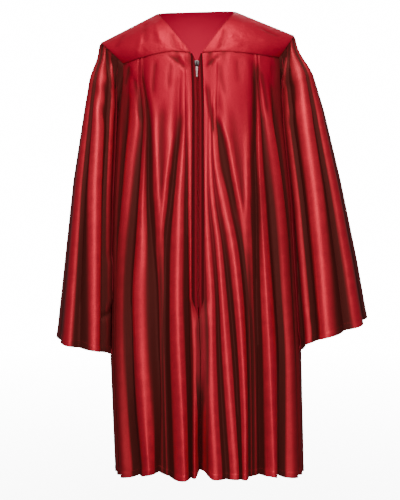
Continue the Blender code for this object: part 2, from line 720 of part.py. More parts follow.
def add_slider():
    x, front, back = slider_face()
    rear = back + CHAIN_THICKNESS + 2 * SEAM_GAP
    plate_size = (SLIDER_WIDTH, PLATE, SLIDER_LENGTH)
    slider = box("zip_slider", (x, (front + back) / 2, SLIDER_HEIGHT), plate_size, STEEL)
    plate = box("rear_plate", (x, rear + PLATE / 2, SLIDER_HEIGHT), plate_size, STEEL)
    wedge_height = SLIDER_HEIGHT + (SLIDER_LENGTH - WEDGE_LENGTH) / 2
    wedge_size = (WEDGE_WIDTH, rear - back + PLATE, WEDGE_LENGTH)
    wedge = box("wedge", (x, (rear + back) / 2, wedge_height), wedge_size, STEEL)
    bridge_depth = BRIDGE_STAND + PLATE / 2
    bridge_y = front + PLATE / 2 - bridge_depth / 2
    bridge = box("bridge", (x, bridge_y, SLIDER_HEIGHT), (BRIDGE_WIDTH, bridge_depth, BRIDGE_LENGTH), STEEL)
    eye_depth = BRIDGE_STAND - BRIDGE_METAL
    eye_size = (2 * BRIDGE_WIDTH, eye_depth, BRIDGE_LENGTH - 2 * BRIDGE_METAL)
    eye = box("eye", (x, front - eye_depth / 2, SLIDER_HEIGHT), eye_size, STEEL)
    for other in (plate, wedge, bridge):
        combine(slider, other, "UNION")
    combine(slider, eye, "DIFFERENCE")


def add_pull():
    x, front, _ = slider_face()
    axis_y = front - (BRIDGE_STAND - BRIDGE_METAL) / 2
    top = SLIDER_HEIGHT + PULL_BAR / 2
    low = top - PULL_LENGTH
    pull = box("zip_pull", (x, axis_y, (top + low) / 2), (PULL_WIDTH, PULL_THICKNESS, PULL_LENGTH), STEEL)
    corners = pull.modifiers.new("rounded", "BEVEL")
    corners.width = PULL_ROUNDING * MM
    corners.segments = 1
    window_height = top - PULL_BAR - PULL_WINDOW_LENGTH / 2
    window_size = (PULL_WINDOW_WIDTH, 3 * PULL_THICKNESS, PULL_WINDOW_LENGTH)
    window = box("window", (x, axis_y, window_height), window_size, STEEL)
    combine(pull, window, "DIFFERENCE")
    count = PULL_HOLE_SIDES
    turn = np.linspace(0, 2 * np.pi, count, endpoint=False)
    ring = np.stack((np.cos(turn), np.zeros(count), np.sin(turn)), axis=1) * PULL_HOLE_RADIUS
    ring += np.array((x, axis_y, low + PULL_HOLE_FROM_END))
    deep = np.array((0, 1.5 * PULL_THICKNESS, 0))
    sides = [(k, (k + 1) % count, (k + 1) % count + count, k + count) for k in range(count)]
    caps = [tuple(range(count - 1, -1, -1)), tuple(range(count, 2 * count))]
    hole = add_object("hole", np.concatenate((ring - deep, ring + deep)), sides + caps, STEEL)
    hole.data.flip_normals()
    combine(pull, hole, "DIFFERENCE")


for wearer_side, word in ((RIGHT, "right"), (LEFT, "left")):
    add_front_yoke(wearer_side, f"yoke_front_{word}")
    add_front(wearer_side, f"front_{word}")
    add_sleeve(wearer_side, f"sleeve_{word}")
    add_tape(wearer_side, f"zip_tape_{word}")
add_back_yoke()
add_back()
add_chain()
add_slider()
add_pull()
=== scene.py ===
"""The looks of a child's graduation gown in red satin, filled out as if worn.

The gown faces -Y and +Z is up. Its sizes are in millimetres and degrees, and MM turns them into
the frame's metres. The wearer's right is at -X.
"""

import bpy
import numpy as np
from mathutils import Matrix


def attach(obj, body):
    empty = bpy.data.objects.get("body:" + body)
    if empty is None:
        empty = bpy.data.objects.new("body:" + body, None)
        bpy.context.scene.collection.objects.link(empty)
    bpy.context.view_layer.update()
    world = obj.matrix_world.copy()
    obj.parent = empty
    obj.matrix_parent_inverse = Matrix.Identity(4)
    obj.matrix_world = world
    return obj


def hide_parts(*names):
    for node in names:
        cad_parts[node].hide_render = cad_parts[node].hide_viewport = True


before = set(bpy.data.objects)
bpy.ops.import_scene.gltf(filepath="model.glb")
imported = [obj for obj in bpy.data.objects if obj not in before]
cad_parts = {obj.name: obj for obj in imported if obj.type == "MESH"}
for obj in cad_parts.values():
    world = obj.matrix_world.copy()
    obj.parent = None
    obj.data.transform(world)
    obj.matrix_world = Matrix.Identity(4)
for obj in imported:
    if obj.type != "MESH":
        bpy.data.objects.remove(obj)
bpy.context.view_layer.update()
MM = 0.001
RIGHT = -1
LEFT = 1


# Studio
# A pale floor that fades into white surroundings, a soft light over the camera and a tall one
# behind it, others above and behind, and a camera level with the yokes that looks 8 degrees down.
CAMERA_PLACE = (0.0045, -2.72, -0.047)
CAMERA_PITCH = np.radians(82)
CAMERA_LENS = 106.4
FLOOR_HEIGHT = -1.1
FLOOR_RADIUS = 6.0
FLOOR_COLOUR = (0.93, 0.93, 0.93, 1)
FLOOR_GLOW = 9.0
SURROUNDINGS = 0.12
SEEN_BEHIND = 16.0
FLOOR_CORNERS = 64
FLOOR_FADE = 1.3, 2.6
# name: place, what it points at, width, height, power
LIGHTS = {
    "front_key": ((-0.15, -2.3, 1.0), (0, 0, -0.2), 0.9, 1.7, 38),
    "front_strip": ((0.1, -3.6, -0.1), (0, 0, -0.45), 1.1, 2.6, 26),
    "top_fill": ((0, -1.2, 2.6), (0, 0, -0.2), 1.6, 1.2, 60),
    "back_key": ((0, 3.2, 1.2), (0, 0, -0.4), 1.0, 2.2, 75),
}


class Socket:
    """A value in a material's nodes. Sums and products written with it add Math nodes."""

    def __init__(self, finish, socket):
        self.finish = finish
        self.socket = socket

    def sum_of(self, operation, first, second):
        return self.finish.node("ShaderNodeMath", {"operation": operation}, {0: first, 1: second})

    def __add__(self, other):
        return self.sum_of("ADD", self, other)

    def __radd__(self, other):
        return self.sum_of("ADD", other, self)

    def __rsub__(self, other):
        return self.sum_of("SUBTRACT", other, self)

    def __mul__(self, other):
        return self.sum_of("MULTIPLY", self, other)

    def __rmul__(self, other):
        return self.sum_of("MULTIPLY", other, self)


class Finish:
    """A material, or the surroundings, whose nodes are added one by one."""

    def __init__(self, owner):
        self.owner = owner
        owner.use_nodes = True
        self.tree = owner.node_tree
        self.shader = self.tree.nodes.get("Principled BSDF")

    def put(self, value, socket):
        """Sets a socket, or links another into it."""
        if isinstance(value, Socket):
            self.tree.links.new(value.socket, socket)
        else:
            socket.default_value = value

    def node(self, kind, settings=None, inputs=None, output=0):
        """Adds a node with its settings, then the values or links of its sockets."""
        made = self.tree.nodes.new(kind)
        for key, value in (settings or {}).items():
            setattr(made, key, value)
        for key, value in (inputs or {}).items():
            self.put(value, made.inputs[key])
        return Socket(self, made.outputs[output])

    def mix(self, share, first, second):
        """A colour between two, by a share from 0 to 1."""
        return self.node("ShaderNodeMix", {"data_type": "RGBA"}, {0: share, 6: first, 7: second}, 2)

    def place(self):
        """The place on the piece, in metres."""
        return self.node("ShaderNodeTexCoord", output=3)

    def part(self, vector, axis):
        """One of a vector's three parts."""
        return self.node("ShaderNodeSeparateXYZ", {}, {0: vector}, axis)

    def folds(self):
        """The crests' attribute, whose parts are what cloth() keeps."""
        return self.node("ShaderNodeAttribute", {"attribute_name": "folds"}, output=1)

    def noise(self, place, scale, detail):
        """Noise from 0 to 1."""
        return self.node("ShaderNodeTexNoise", {}, {"Vector": place, "Scale": scale, "Detail": detail})

    def bump(self, height, depth, under=None):
        """A relief of that depth in metres, over another."""
        inputs = {"Height": height, "Distance": depth, "Strength": 1.0}
        if under is not None:
            inputs["Normal"] = under
        return self.node("ShaderNodeBump", {}, inputs)

    def finish(self, **values):
        """Sets the shader's own sockets by name, with _ for a space."""
        for key, value in values.items():
            self.put(value, self.shader.inputs[key.replace("_", " ")])
        return self.owner


def material(name):
    """A new material, ready for its nodes."""
    return Finish(bpy.data.materials.new(name))


def in_scene(name, data):
    """A new object in the scene, of a mesh, a light or a camera."""
    made = bpy.data.objects.new(name, data)
    bpy.context.scene.collection.objects.link(made)
    return made


camera_data = bpy.data.cameras.new("camera")
camera_data.lens = CAMERA_LENS
camera = in_scene("camera", camera_data)
camera.location = CAMERA_PLACE
camera.rotation_euler = (CAMERA_PITCH, 0, 0)
bpy.context.scene.camera = camera

surroundings = Finish(bpy.data.worlds.new("studio"))
bpy.context.scene.world = surroundings.owner
seen = surroundings.node("ShaderNodeLightPath")
background = surroundings.tree.nodes["Background"]
background.inputs["Color"].default_value = (1, 1, 1, 1)
surroundings.put(SURROUNDINGS + (SEEN_BEHIND - SURROUNDINGS) * seen, background.inputs["Strength"])

for light_name, (place, target, width, height, power) in LIGHTS.items():
    lamp = bpy.data.lights.new(light_name, "AREA")
    lamp.shape = "RECTANGLE"
    lamp.size = width
    lamp.size_y = height
    lamp.energy = power
    light = in_scene(light_name, lamp)
    light.location = place
    way = light.location.copy()
    way.x, way.y, way.z = (target[axis] - place[axis] for axis in range(3))
    light.rotation_euler = way.to_track_quat("-Z", "Y").to_euler()
    light.visible_camera = False

floor_mesh = bpy.data.meshes.new("floor")
floor_turn = np.linspace(0, 2 * np.pi, FLOOR_CORNERS, endpoint=False)
floor_rim = [(FLOOR_RADIUS * np.cos(turn), FLOOR_RADIUS * np.sin(turn), FLOOR_HEIGHT) for turn in floor_turn]
floor_mesh.from_pydata(floor_rim, [], [tuple(range(FLOOR_CORNERS))])
floor = in_scene("floor", floor_mesh)
pale = material("pale_floor")
pale.finish(Base_Color=FLOOR_COLOUR, Roughness=0.9)
pale.finish(Emission_Color=FLOOR_COLOUR, Emission_Strength=FLOOR_GLOW)
reach = pale.node("ShaderNodeVectorMath", {"operation": "LENGTH"}, {0: pale.place()}, output=1)
fade_range = {"Value": reach, "From Min": FLOOR_FADE[0], "From Max": FLOOR_FADE[1]}
fade = pale.node("ShaderNodeMapRange", {}, fade_range)
clear = pale.node("ShaderNodeBsdfTransparent")
floor_shader = Socket(pale, pale.shader.outputs[0])
blended = pale.node("ShaderNodeMixShader", {}, {0: fade, 1: floor_shader, 2: clear})
pale.put(blended, pale.tree.nodes["Material Output"].inputs["Surface"])
floor_mesh.materials.append(pale.owner)
floor.visible_glossy = False
floor.visible_diffuse = False


# Front yokes
# Two smooth pieces of single satin, cut along the thread, that go from the shoulder seam over the
# chest to a seam with the pleated fronts. Their inner edges make the V neck.
SHELL = 0.8
SEAM_GAP = 0.4
# The body under all the cloth is a rounded tube: height, centre, half width, half depth
BODY_SECTIONS = np.array((
    (-60, 5, 156, 84),
    (-190, 5, 157, 86),
    (-336, 9, 166, 90),
    (-610, 15, 175, 98),
    (-862, 23, 172, 106),
), float)
BODY_POWER = 2.8
BODY_FLATNESS = 0.55
NECK_POINT = {RIGHT: (-74, 4), LEFT: (70, 8)}
SHOULDER_TIP = {RIGHT: (-177, -48), LEFT: (177, -35)}
FRONT_YOKE_CORNER_X = {RIGHT: -133, LEFT: 147}
FRONT_SEAM_FALL = {RIGHT: 23, LEFT: 12}
FRONT_SEAM_TOP = -62
FRONT_SEAM_LEVEL_TO = 40
FRONT_SEAM_DIP = 3
FRONT_SEAM_BOW = 1.5
NECK_EDGE_LEAN = 0.15
SHOULDER_SEAM_ANGLE = 0.0003
ZIP_LINE = np.array((
    (-62, -2),
    (-110, 0),
    (-150, 1),
    (-500, 1),
    (-600, 5),
    (-862, 4),
), float)
FRONT_EDGE = np.array((
    (-62, 10.5),
    (-505, 10.5),
    (-540, 0.5),
    (-862, 0.4),
), float)
YOKE_COLUMNS = 110
YOKE_ROWS = 56
# Soft creases in a yoke: where each starts and ends, as shares out from the neck and down from
# the shoulder, its height and its half width
YOKE_CREASES = {
    RIGHT: np.array((
        (0.10, 0.30, 0.34, 0.88, 1.1, 0.045),
        (0.22, 0.20, 0.55, 0.74, -1.0, 0.05),
        (0.36, 0.42, 0.80, 0.98, 0.9, 0.04),
        (0.05, 0.62, 0.22, 1.00, -0.9, 0.035),
        (0.60, 0.25, 0.95, 0.62, -0.8, 0.05),
        (0.02, 0.80, 0.12, 1.00, 0.7, 0.025),
    )),
    LEFT: np.array((
        (0.06, 0.55, 0.24, 1.00, -1.0, 0.04),
        (0.14, 0.66, 0.46, 0.90, 0.9, 0.05),
        (0.30, 0.22, 0.62, 0.50, 0.9, 0.045),
        (0.42, 0.36, 0.86, 0.44, -1.1, 0.045),
        (0.58, 0.62, 0.96, 0.80, 0.8, 0.05),
        (0.64, 0.12, 0.92, 0.26, 0.8, 0.035),
    )),
}
CREASE_ENDS = 0.25
# Creases stop at this share of a yoke from its shoulder, and at this one from its lower seam
CREASES_START = 0.12
CREASES_STOP = 0.06
# Painted shade along the yoke's seams and sides, and in its crease troughs: how dark at each
YOKE_EDGE_SHADE = 0.55
YOKE_CREASE_SHADE = 0.3
# How fast that shade fades off the seam and off the sides, over the whole yoke
SHADE_FADE_DOWN = 60
SHADE_FADE_ACROSS = 110
# The satin's threads across and along the cloth, its puckers, its patches and its grain
THREADS = (2600, 260, 1)
THREAD_DEPTH = 0.04
PUCKERS = 55.0
PATCHES = 9.0
PATCH_SHARE = 0.2
GRAIN = 520.0
GRAIN_SHARE = 0.3
# The painted highlight's share on sharply bent crests, and how uneven it is
LINE_SHARE = 0.55
LINE_UNEVEN = 0.5
CLOTH_SHARP = np.radians(70)
PUCKER_DEPTH = 0.35
YOKE_PUCKER_DEPTH = 1.3
REVERSE_THREADS = 900.0
REVERSE_DEPTH = 0.05
# The satin's own red, a darker red for its uneven tone and grain and for painted shade, and the painted
# highlight's colour
SATIN_LIGHT = (0.68, 0.008, 0.042, 1)
SATIN_DARK_TONE_AND_SHADE = (0.1, 0.016, 0.014, 1)
SATIN_PAINTED_HIGHLIGHT = (1.0, 0.035, 0.07, 1)
# Painted shade: the cloth is painted darker from the chest down, from this height to this one, in metres
DIM_FROM = -0.14
DIM_TO = -0.36


def at_height(table, column, height):
    """A column of a table whose first column is a falling height, at any heights."""
    return np.interp(-np.asarray(height, float), -table[:, 0], table[:, column])


def ease(value):
    """A smooth step from 0 to 1: three squares less two cubes."""
    value = np.clip(value, 0, 1)
    return value * value * (3 - 2 * value)


def bell(offset, half_width):
    """A bell curve: e to the power of minus the square of the offset's share of the half width."""
    return np.exp(-((offset / half_width) ** 2))


def powered(value, power):
    """A power of the value's size, with the value's sign."""
    return np.sign(value) * np.abs(value) ** power


QUARTER_ANGLE = np.linspace(0, np.pi / 2, 400)
QUARTER_X = np.sin(QUARTER_ANGLE) ** (2 / BODY_POWER)
QUARTER_Y = BODY_FLATNESS * np.cos(QUARTER_ANGLE) ** (2 / BODY_POWER)
QUARTER_RUN = np.concatenate(([0], np.cumsum(np.hypot(np.diff(QUARTER_X), np.diff(QUARTER_Y)))))
QUARTER_SHARE = 0.5 * QUARTER_RUN / QUARTER_RUN[-1]


def body_point(share, height):
    """x, y and the outward direction of the plain body at a share of the way round.

    The outline is a superellipse. The share is 0 at the centre front, 0.5 at the left side, 1 at
    the centre back and negative to the right, and it grows evenly along the outline.
    """
    turn = (np.asarray(share, float) + 1) % 2 - 1
    side = np.where(turn < 0, -1.0, 1.0)
    turn = np.abs(turn)
    behind = turn > 0.5
    angle = np.interp(np.where(behind, 1 - turn, turn), QUARTER_SHARE, QUARTER_ANGLE)
    across = side * np.sin(angle) ** (2 / BODY_POWER)
    forward = np.where(behind, -1.0, 1.0) * np.cos(angle) ** (2 / BODY_POWER)
    half_width = at_height(BODY_SECTIONS, 2, height)
    half_depth = at_height(BODY_SECTIONS, 3, height)
    x = at_height(BODY_SECTIONS, 1, height) + half_width * across
    y = -half_depth * forward
    out_x = powered(across, BODY_POWER - 1) / half_width
    out_y = -powered(forward, BODY_POWER - 1) / half_depth
    size = np.hypot(out_x, out_y)
    return x, y, out_x / size, out_y / size


def front_share(x, height):
    """The share of the way round at which the front of the plain body has this x."""
    centre = at_height(BODY_SECTIONS, 1, height)
    across = np.clip((np.asarray(x, float) - centre) / at_height(BODY_SECTIONS, 2, height), -1, 1)
    angle = np.arcsin(np.abs(across) ** (BODY_POWER / 2))
    return np.sign(across) * np.interp(angle, QUARTER_ANGLE, QUARTER_SHARE)


def front_seam(x):
    """Height of the seam under the front yokes: level, dipping at the zip, falling to the armhole."""
    side = np.where(np.asarray(x) < 0, RIGHT, LEFT)
    corner = np.where(side == RIGHT, -FRONT_YOKE_CORNER_X[RIGHT], FRONT_YOKE_CORNER_X[LEFT])
    fall = np.where(side == RIGHT, FRONT_SEAM_FALL[RIGHT], FRONT_SEAM_FALL[LEFT])
    reach = np.abs(x)
    out = np.clip((reach - FRONT_SEAM_LEVEL_TO) / (corner - FRONT_SEAM_LEVEL_TO), 0, 1)
    inward = np.clip(1 - reach / FRONT_SEAM_LEVEL_TO, 0, 1)
    return FRONT_SEAM_TOP - fall * out**FRONT_SEAM_BOW - FRONT_SEAM_DIP * inward


def yoke_arch(ridge_x, ridge_height, seam_x, seam_height, angle, facing):
    """A point of a yoke: a quarter of an oval from the shoulder line over to the seam."""
    depth = np.abs(body_point(front_share(seam_x, seam_height), seam_height)[1])
    over = 1 - np.cos(angle)
    across = (1 - NECK_EDGE_LEAN) * over + NECK_EDGE_LEAN * np.sin(angle)
    x = ridge_x + (seam_x - ridge_x) * across
    y = facing * depth * np.sin(angle)
    height = ridge_height + (seam_height - ridge_height) * over
    return np.stack((x, y, height), axis=-1)


def square_out(points, wrap=False):
    """Unit directions square to a grid of points: the cross product of its runs down and across."""
    if wrap:
        across = np.roll(points, -1, axis=1) - np.roll(points, 1, axis=1)
    else:
        across = np.gradient(points, axis=1)
    out = np.cross(np.gradient(points, axis=0), across)
    return out / np.linalg.norm(out, axis=2, keepdims=True)


def mesh_object(name, points, faces, looks):
    """An object of points in millimetres and the faces between them, with its materials."""
    mesh = bpy.data.meshes.new(name)
    mesh.from_pydata((points * MM).tolist(), [], faces)
    for look in looks:
        mesh.materials.append(look)
    return in_scene(name, mesh)


def to_left(side, *grids):
    """Grids whose columns run out from the middle, turned to run to the left on both sides."""
    return [grid[:, ::-1] if side == RIGHT else grid for grid in grids]


def cloth(name, points, look, reverse, wrap=False, through=None, folds=None):
    """A closed thin shell whose outer face is a grid of points, rows down and columns to the left.

    The inner face lies in from it by SHELL, square to the cloth, or along `through` where
    that isn't nan. The UV map holds the lengths along the rows and columns, in metres. `folds` is
    kept as an attribute, from which the materials paint shade and highlights: 1 on a crest and 0 in
    the deepest troughs, then 1 where cloth bends sharply over a crest and 0 where it is flat or
    hollow.
    """
    rows, columns = points.shape[:2]
    out = square_out(points, wrap)
    if through is not None:
        out = np.where(np.isnan(through), out, through)
    inner = points - out * SHELL
    index = np.arange(rows * columns).reshape(rows, columns)
    closed = np.concatenate((points, points[:, :1]), axis=1) if wrap else points
    if wrap:
        index = np.concatenate((index, index[:, :1]), axis=1)
    back = index + rows * columns
    run = np.linalg.norm(np.diff(closed, axis=1), axis=2).mean(axis=0)
    fall = np.linalg.norm(np.diff(closed, axis=0), axis=2)
    u = np.broadcast_to(np.concatenate(([0], np.cumsum(run))), closed.shape[:2])
    v = -np.concatenate((np.zeros((1, closed.shape[1])), np.cumsum(fall, axis=0)))
    lengths = np.stack((u, v), axis=2) * MM

    def corners(grid, order):
        """Four corners of each cell, as (row step, column step) pairs."""
        cells = [grid[r: r + grid.shape[0] - 1, c: c + grid.shape[1] - 1] for r, c in order]
        return np.stack(cells, axis=2).reshape((-1, 4) + grid.shape[2:])

    def edge(front, rear):
        """Four corners of each cell of a rim between two lines."""
        return np.stack((front[:-1], front[1:], rear[1:], rear[:-1]), axis=1)

    outside = ((0, 0), (1, 0), (1, 1), (0, 1))
    inside = ((0, 0), (0, 1), (1, 1), (1, 0))
    faces = [corners(index, outside), corners(back, inside), edge(index[0], back[0])]
    faces.append(edge(index[-1, ::-1], back[-1, ::-1]))
    maps = [corners(lengths, outside), corners(lengths, inside), edge(lengths[0], lengths[0])]
    maps.append(edge(lengths[-1, ::-1], lengths[-1, ::-1]))
    if not wrap:
        faces += [edge(index[::-1, 0], back[::-1, 0]), edge(index[:, -1], back[:, -1])]
        maps += [edge(lengths[::-1, 0], lengths[::-1, 0]), edge(lengths[:, -1], lengths[:, -1])]
    joined = np.concatenate((points.reshape(-1, 3), inner.reshape(-1, 3)))
    made = mesh_object(name, joined, np.concatenate(faces).tolist(), (look, reverse))
    mesh = made.data
    reversed_faces = np.zeros(len(mesh.polygons), np.int32)
    reversed_faces[len(faces[0]): 2 * len(faces[0])] = 1
    mesh.polygons.foreach_set("material_index", reversed_faces)
    layer = mesh.uv_layers.new(name="lengths")
    layer.data.foreach_set("uv", np.concatenate(maps).ravel())
    crest = mesh.attributes.new("folds", "FLOAT_VECTOR", "POINT")
    shade = np.zeros((rows, columns, 3))
    shade[..., :2] = (1, 0) if folds is None else folds
    crest.data.foreach_set("vector", np.tile(shade.ravel(), 2).astype(np.float32))
    mesh.shade_smooth()
    mesh.set_sharp_from_angle(angle=CLOTH_SHARP)
    return made


def satin(name, pucker, dim_top, dim_low):
    """Red satin: painted highlights along its crests and painted shade in its troughs, with long
    fine threads and soft puckers.

    Under its painted highlights it is also painted darker as shade, by one share at the chest and by another
    lower down.
    """
    look = material(name)
    lengths = look.node("ShaderNodeUVMap", {"uv_map": "lengths"})
    place = look.place()
    folds = look.folds()
    crest = look.part(folds, 0)
    line = look.part(folds, 1)
    across = look.node("ShaderNodeVectorMath", {"operation": "MULTIPLY"}, {0: lengths, 1: THREADS})
    threads = look.noise(across, 1.0, 2.0)
    soft = look.noise(place, PUCKERS, 3.0)
    # Painted shade: the troughs take the darker red, by the crests' attribute
    colour = look.mix(crest, SATIN_DARK_TONE_AND_SHADE, SATIN_LIGHT)
    colour = look.mix(PATCH_SHARE * look.noise(place, PATCHES, 1.0), colour, SATIN_DARK_TONE_AND_SHADE)
    # Painted shade, by a share that changes with height
    dim_range = {"From Min": DIM_FROM, "From Max": DIM_TO, "To Min": dim_top, "To Max": dim_low}
    dim = look.node("ShaderNodeMapRange", {}, {"Value": look.part(place, 2)} | dim_range)
    colour = look.mix(dim, colour, SATIN_DARK_TONE_AND_SHADE)
    # Painted highlight: a brighter red along sharply bent crests
    colour = look.mix(line * (LINE_SHARE + LINE_UNEVEN * soft), colour, SATIN_PAINTED_HIGHLIGHT)
    colour = look.mix(GRAIN_SHARE * look.noise(place, GRAIN, 1.0), colour, SATIN_DARK_TONE_AND_SHADE)
    relief = look.bump(soft, pucker * MM, look.bump(threads, THREAD_DEPTH * MM))
    roughness = 0.36 + 0.1 * soft + 0.06 * threads + 0.2 * (1 - crest)
    return look.finish(
        Base_Color=colour,
        Roughness=roughness,
        Metallic=0.4 + 0.2 * line,
        Normal=relief,
        Specular_IOR_Level=0.05,
        Anisotropic=0.45,
        Anisotropic_Rotation=0.25,
        Sheen_Weight=0.04,
        Sheen_Roughness=0.4,
        Sheen_Tint=(1, 0.25, 0.25, 1),
    )


def soft_crease(across, down, row):
    """A ridge or trough along a straight line on a piece: a bell curve that eases away at its ends."""
    start_a, start_d, end_a, end_d, depth, half_width = row
    run_a = end_a - start_a
    run_d = end_d - start_d
    length = np.hypot(run_a, run_d)
    along = ((across - start_a) * run_a + (down - start_d) * run_d) / length**2
    aside = ((across - start_a) * run_d - (down - start_d) * run_a) / length
    ends = ease(along / CREASE_ENDS) * ease((1 - along) / CREASE_ENDS)
    return depth * ends * bell(aside, half_width)


def ridge(side, way):
    """The shoulder seam's x and height, from the neck at 0 to the tip at 1."""
    neck = NECK_POINT[side]
    tip = SHOULDER_TIP[side]
    return neck[0] + (tip[0] - neck[0]) * way, neck[1] + (tip[1] - neck[1]) * way


def satin_reverse(name, light, deep, glow):
    """The dull side of the satin, an even red, with a painted glow: an even emission that stands in for
    light coming through the thin cloth.
    """
    look = material(name)
    threads = look.noise(look.place(), REVERSE_THREADS, 2.0)
    return look.finish(
        Base_Color=look.mix(GRAIN_SHARE * threads, light, deep),
        Roughness=0.6,
        Specular_IOR_Level=0.1,
        Emission_Color=(0.6, 0.008, 0.06, 1),
        Emission_Strength=glow,
        Normal=look.bump(threads, REVERSE_DEPTH * MM),
    )


YOKE_SATIN = satin("yoke_satin", YOKE_PUCKER_DEPTH, 0, 0)
# The yokes' reverse, seen through the neck, is painted lighter and glows; the fronts', back's and sleeves'
# reverse is a darker copy, painted as shade
REVERSE = satin_reverse("satin_reverse", (0.9, 0.022, 0.075, 1), (0.66, 0.013, 0.05, 1), 0.22)
SHADED_REVERSE = satin_reverse("satin_reverse_shaded", (0.25, 0.01, 0.02, 1), (0.15, 0.008, 0.012, 1), 0)
down = np.linspace(0, 1, YOKE_ROWS + 1)[:, None]
crease_fade = ease(down / CREASES_START) * ease((1 - down) / CREASES_STOP)
for side, name in ((RIGHT, "yoke_front_right"), (LEFT, "yoke_front_left")):
    way = np.linspace(0, 1, YOKE_COLUMNS + 1)[None, :]
    angle = SHOULDER_SEAM_ANGLE + (np.pi / 2 - SHOULDER_SEAM_ANGLE) * down
    ridge_x, ridge_height = ridge(side, way)
    top_edge = at_height(ZIP_LINE, 1, FRONT_SEAM_TOP) + side * at_height(FRONT_EDGE, 1, FRONT_SEAM_TOP)
    seam_x = top_edge + (FRONT_YOKE_CORNER_X[side] - top_edge) * way
    grid = yoke_arch(ridge_x, ridge_height, seam_x, front_seam(seam_x), angle, -1)
    relief = sum(soft_crease(way, down, row) for row in YOKE_CREASES[side])
    # Painted shade: darker near the seams and sides and in crease troughs
    at_edge = np.minimum((1 - down) * SHADE_FADE_DOWN, np.minimum(way, 1 - way) * SHADE_FADE_ACROSS)
    grid, relief, at_edge = to_left(side, grid, relief, at_edge)
    grid = grid + square_out(grid) * (relief * crease_fade)[..., None]
    shade = YOKE_EDGE_SHADE * np.exp(-at_edge) + YOKE_CREASE_SHADE * np.maximum(-relief, 0)
    shades = np.stack((1 - shade, 0 * shade), axis=2)
    piece = cloth(f"{name}_satin", grid, YOKE_SATIN, REVERSE, folds=shades)
    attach(piece, "gown")
    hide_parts(name)


# Back yoke
# One smooth piece of satin across the shoulders. Its top edge is the back of the neck, and its
# lower one is sewn to the gathered back.
BACK_YOKE_CORNER_X = {RIGHT: -138, LEFT: 148}
BACK_SEAM_HEIGHT = -104
BACK_SEAM_FALL = 6
BACK_NECK_DEPTH = 24
BACK_NECK_STAND = 7
BACK_NECK_SQUARENESS = 2.5
BACK_YOKE_CREASES = np.array((
    (0.30, 0.30, 0.18, 0.95, 0.8, 0.03),
    (0.42, 0.25, 0.40, 0.90, -0.7, 0.03),
    (0.60, 0.30, 0.66, 0.95, 0.8, 0.03),
    (0.74, 0.20, 0.88, 0.80, -0.8, 0.03),
    (0.24, 0.15, 0.08, 0.70, -0.7, 0.03),
))


def back_seam(x):
    """Height of the seam under the back yoke: level, falling a little to the armholes."""
    return BACK_SEAM_HEIGHT - BACK_SEAM_FALL * (np.asarray(x) / BACK_YOKE_CORNER_X[LEFT]) ** 2


shoulder = np.linspace(1, 0, YOKE_COLUMNS // 2 + 1)
neck = np.linspace(-1, 1, YOKE_COLUMNS // 2 + 1)[1:-1]
right_x, right_height = ridge(RIGHT, shoulder)
left_x, left_height = ridge(LEFT, shoulder[::-1])
neck_x, neck_height = (first + (last - first) * (neck + 1) / 2 for first, last in zip(*NECK_POINT.values()))
neck_height = neck_height + BACK_NECK_STAND * (1 - neck**2)
scoop = BACK_NECK_DEPTH * (1 - np.abs(neck) ** BACK_NECK_SQUARENESS)
ridge_x = np.concatenate((right_x, neck_x, left_x))
ridge_height = np.concatenate((right_height, neck_height, left_height))
tips = SHOULDER_TIP[RIGHT][0], SHOULDER_TIP[LEFT][0]
seam_x = np.interp(ridge_x, tips, tuple(BACK_YOKE_CORNER_X.values()))
seam_height = back_seam(seam_x)
depth = np.abs(body_point(front_share(seam_x, seam_height), seam_height)[1])
edge = np.concatenate((np.zeros(len(shoulder)), scoop, np.zeros(len(shoulder))))
first = np.maximum(np.arcsin(edge / depth), SHOULDER_SEAM_ANGLE)
grid = yoke_arch(ridge_x, ridge_height, seam_x, seam_height, first + (np.pi / 2 - first) * down, 1)
way = np.linspace(0, 1, len(ridge_x))[None, :]
relief = sum(soft_crease(way, down, row) for row in BACK_YOKE_CREASES)
grid = grid[:, ::-1]
grid = grid + square_out(grid) * (relief * crease_fade)[:, ::-1, None]
back_yoke = cloth("yoke_back_satin", grid, YOKE_SATIN, REVERSE)
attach(back_yoke, "gown")
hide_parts("yoke_back")


# Fronts
# Each front is one panel of satin, gathered into the yoke above and hanging in long folds that
# deepen to a stitched hem. Its inner edge is folded back beside the zip.
FOLD_HEIGHTS = np.array((-113, -183, -256, -326, -400, -490, -600, -710, -820), float)
LIFT_HEIGHTS = np.array((-120, -300, -540, -820), float)
BREADTH_HEIGHTS = np.array((-120, -380, -820), float)
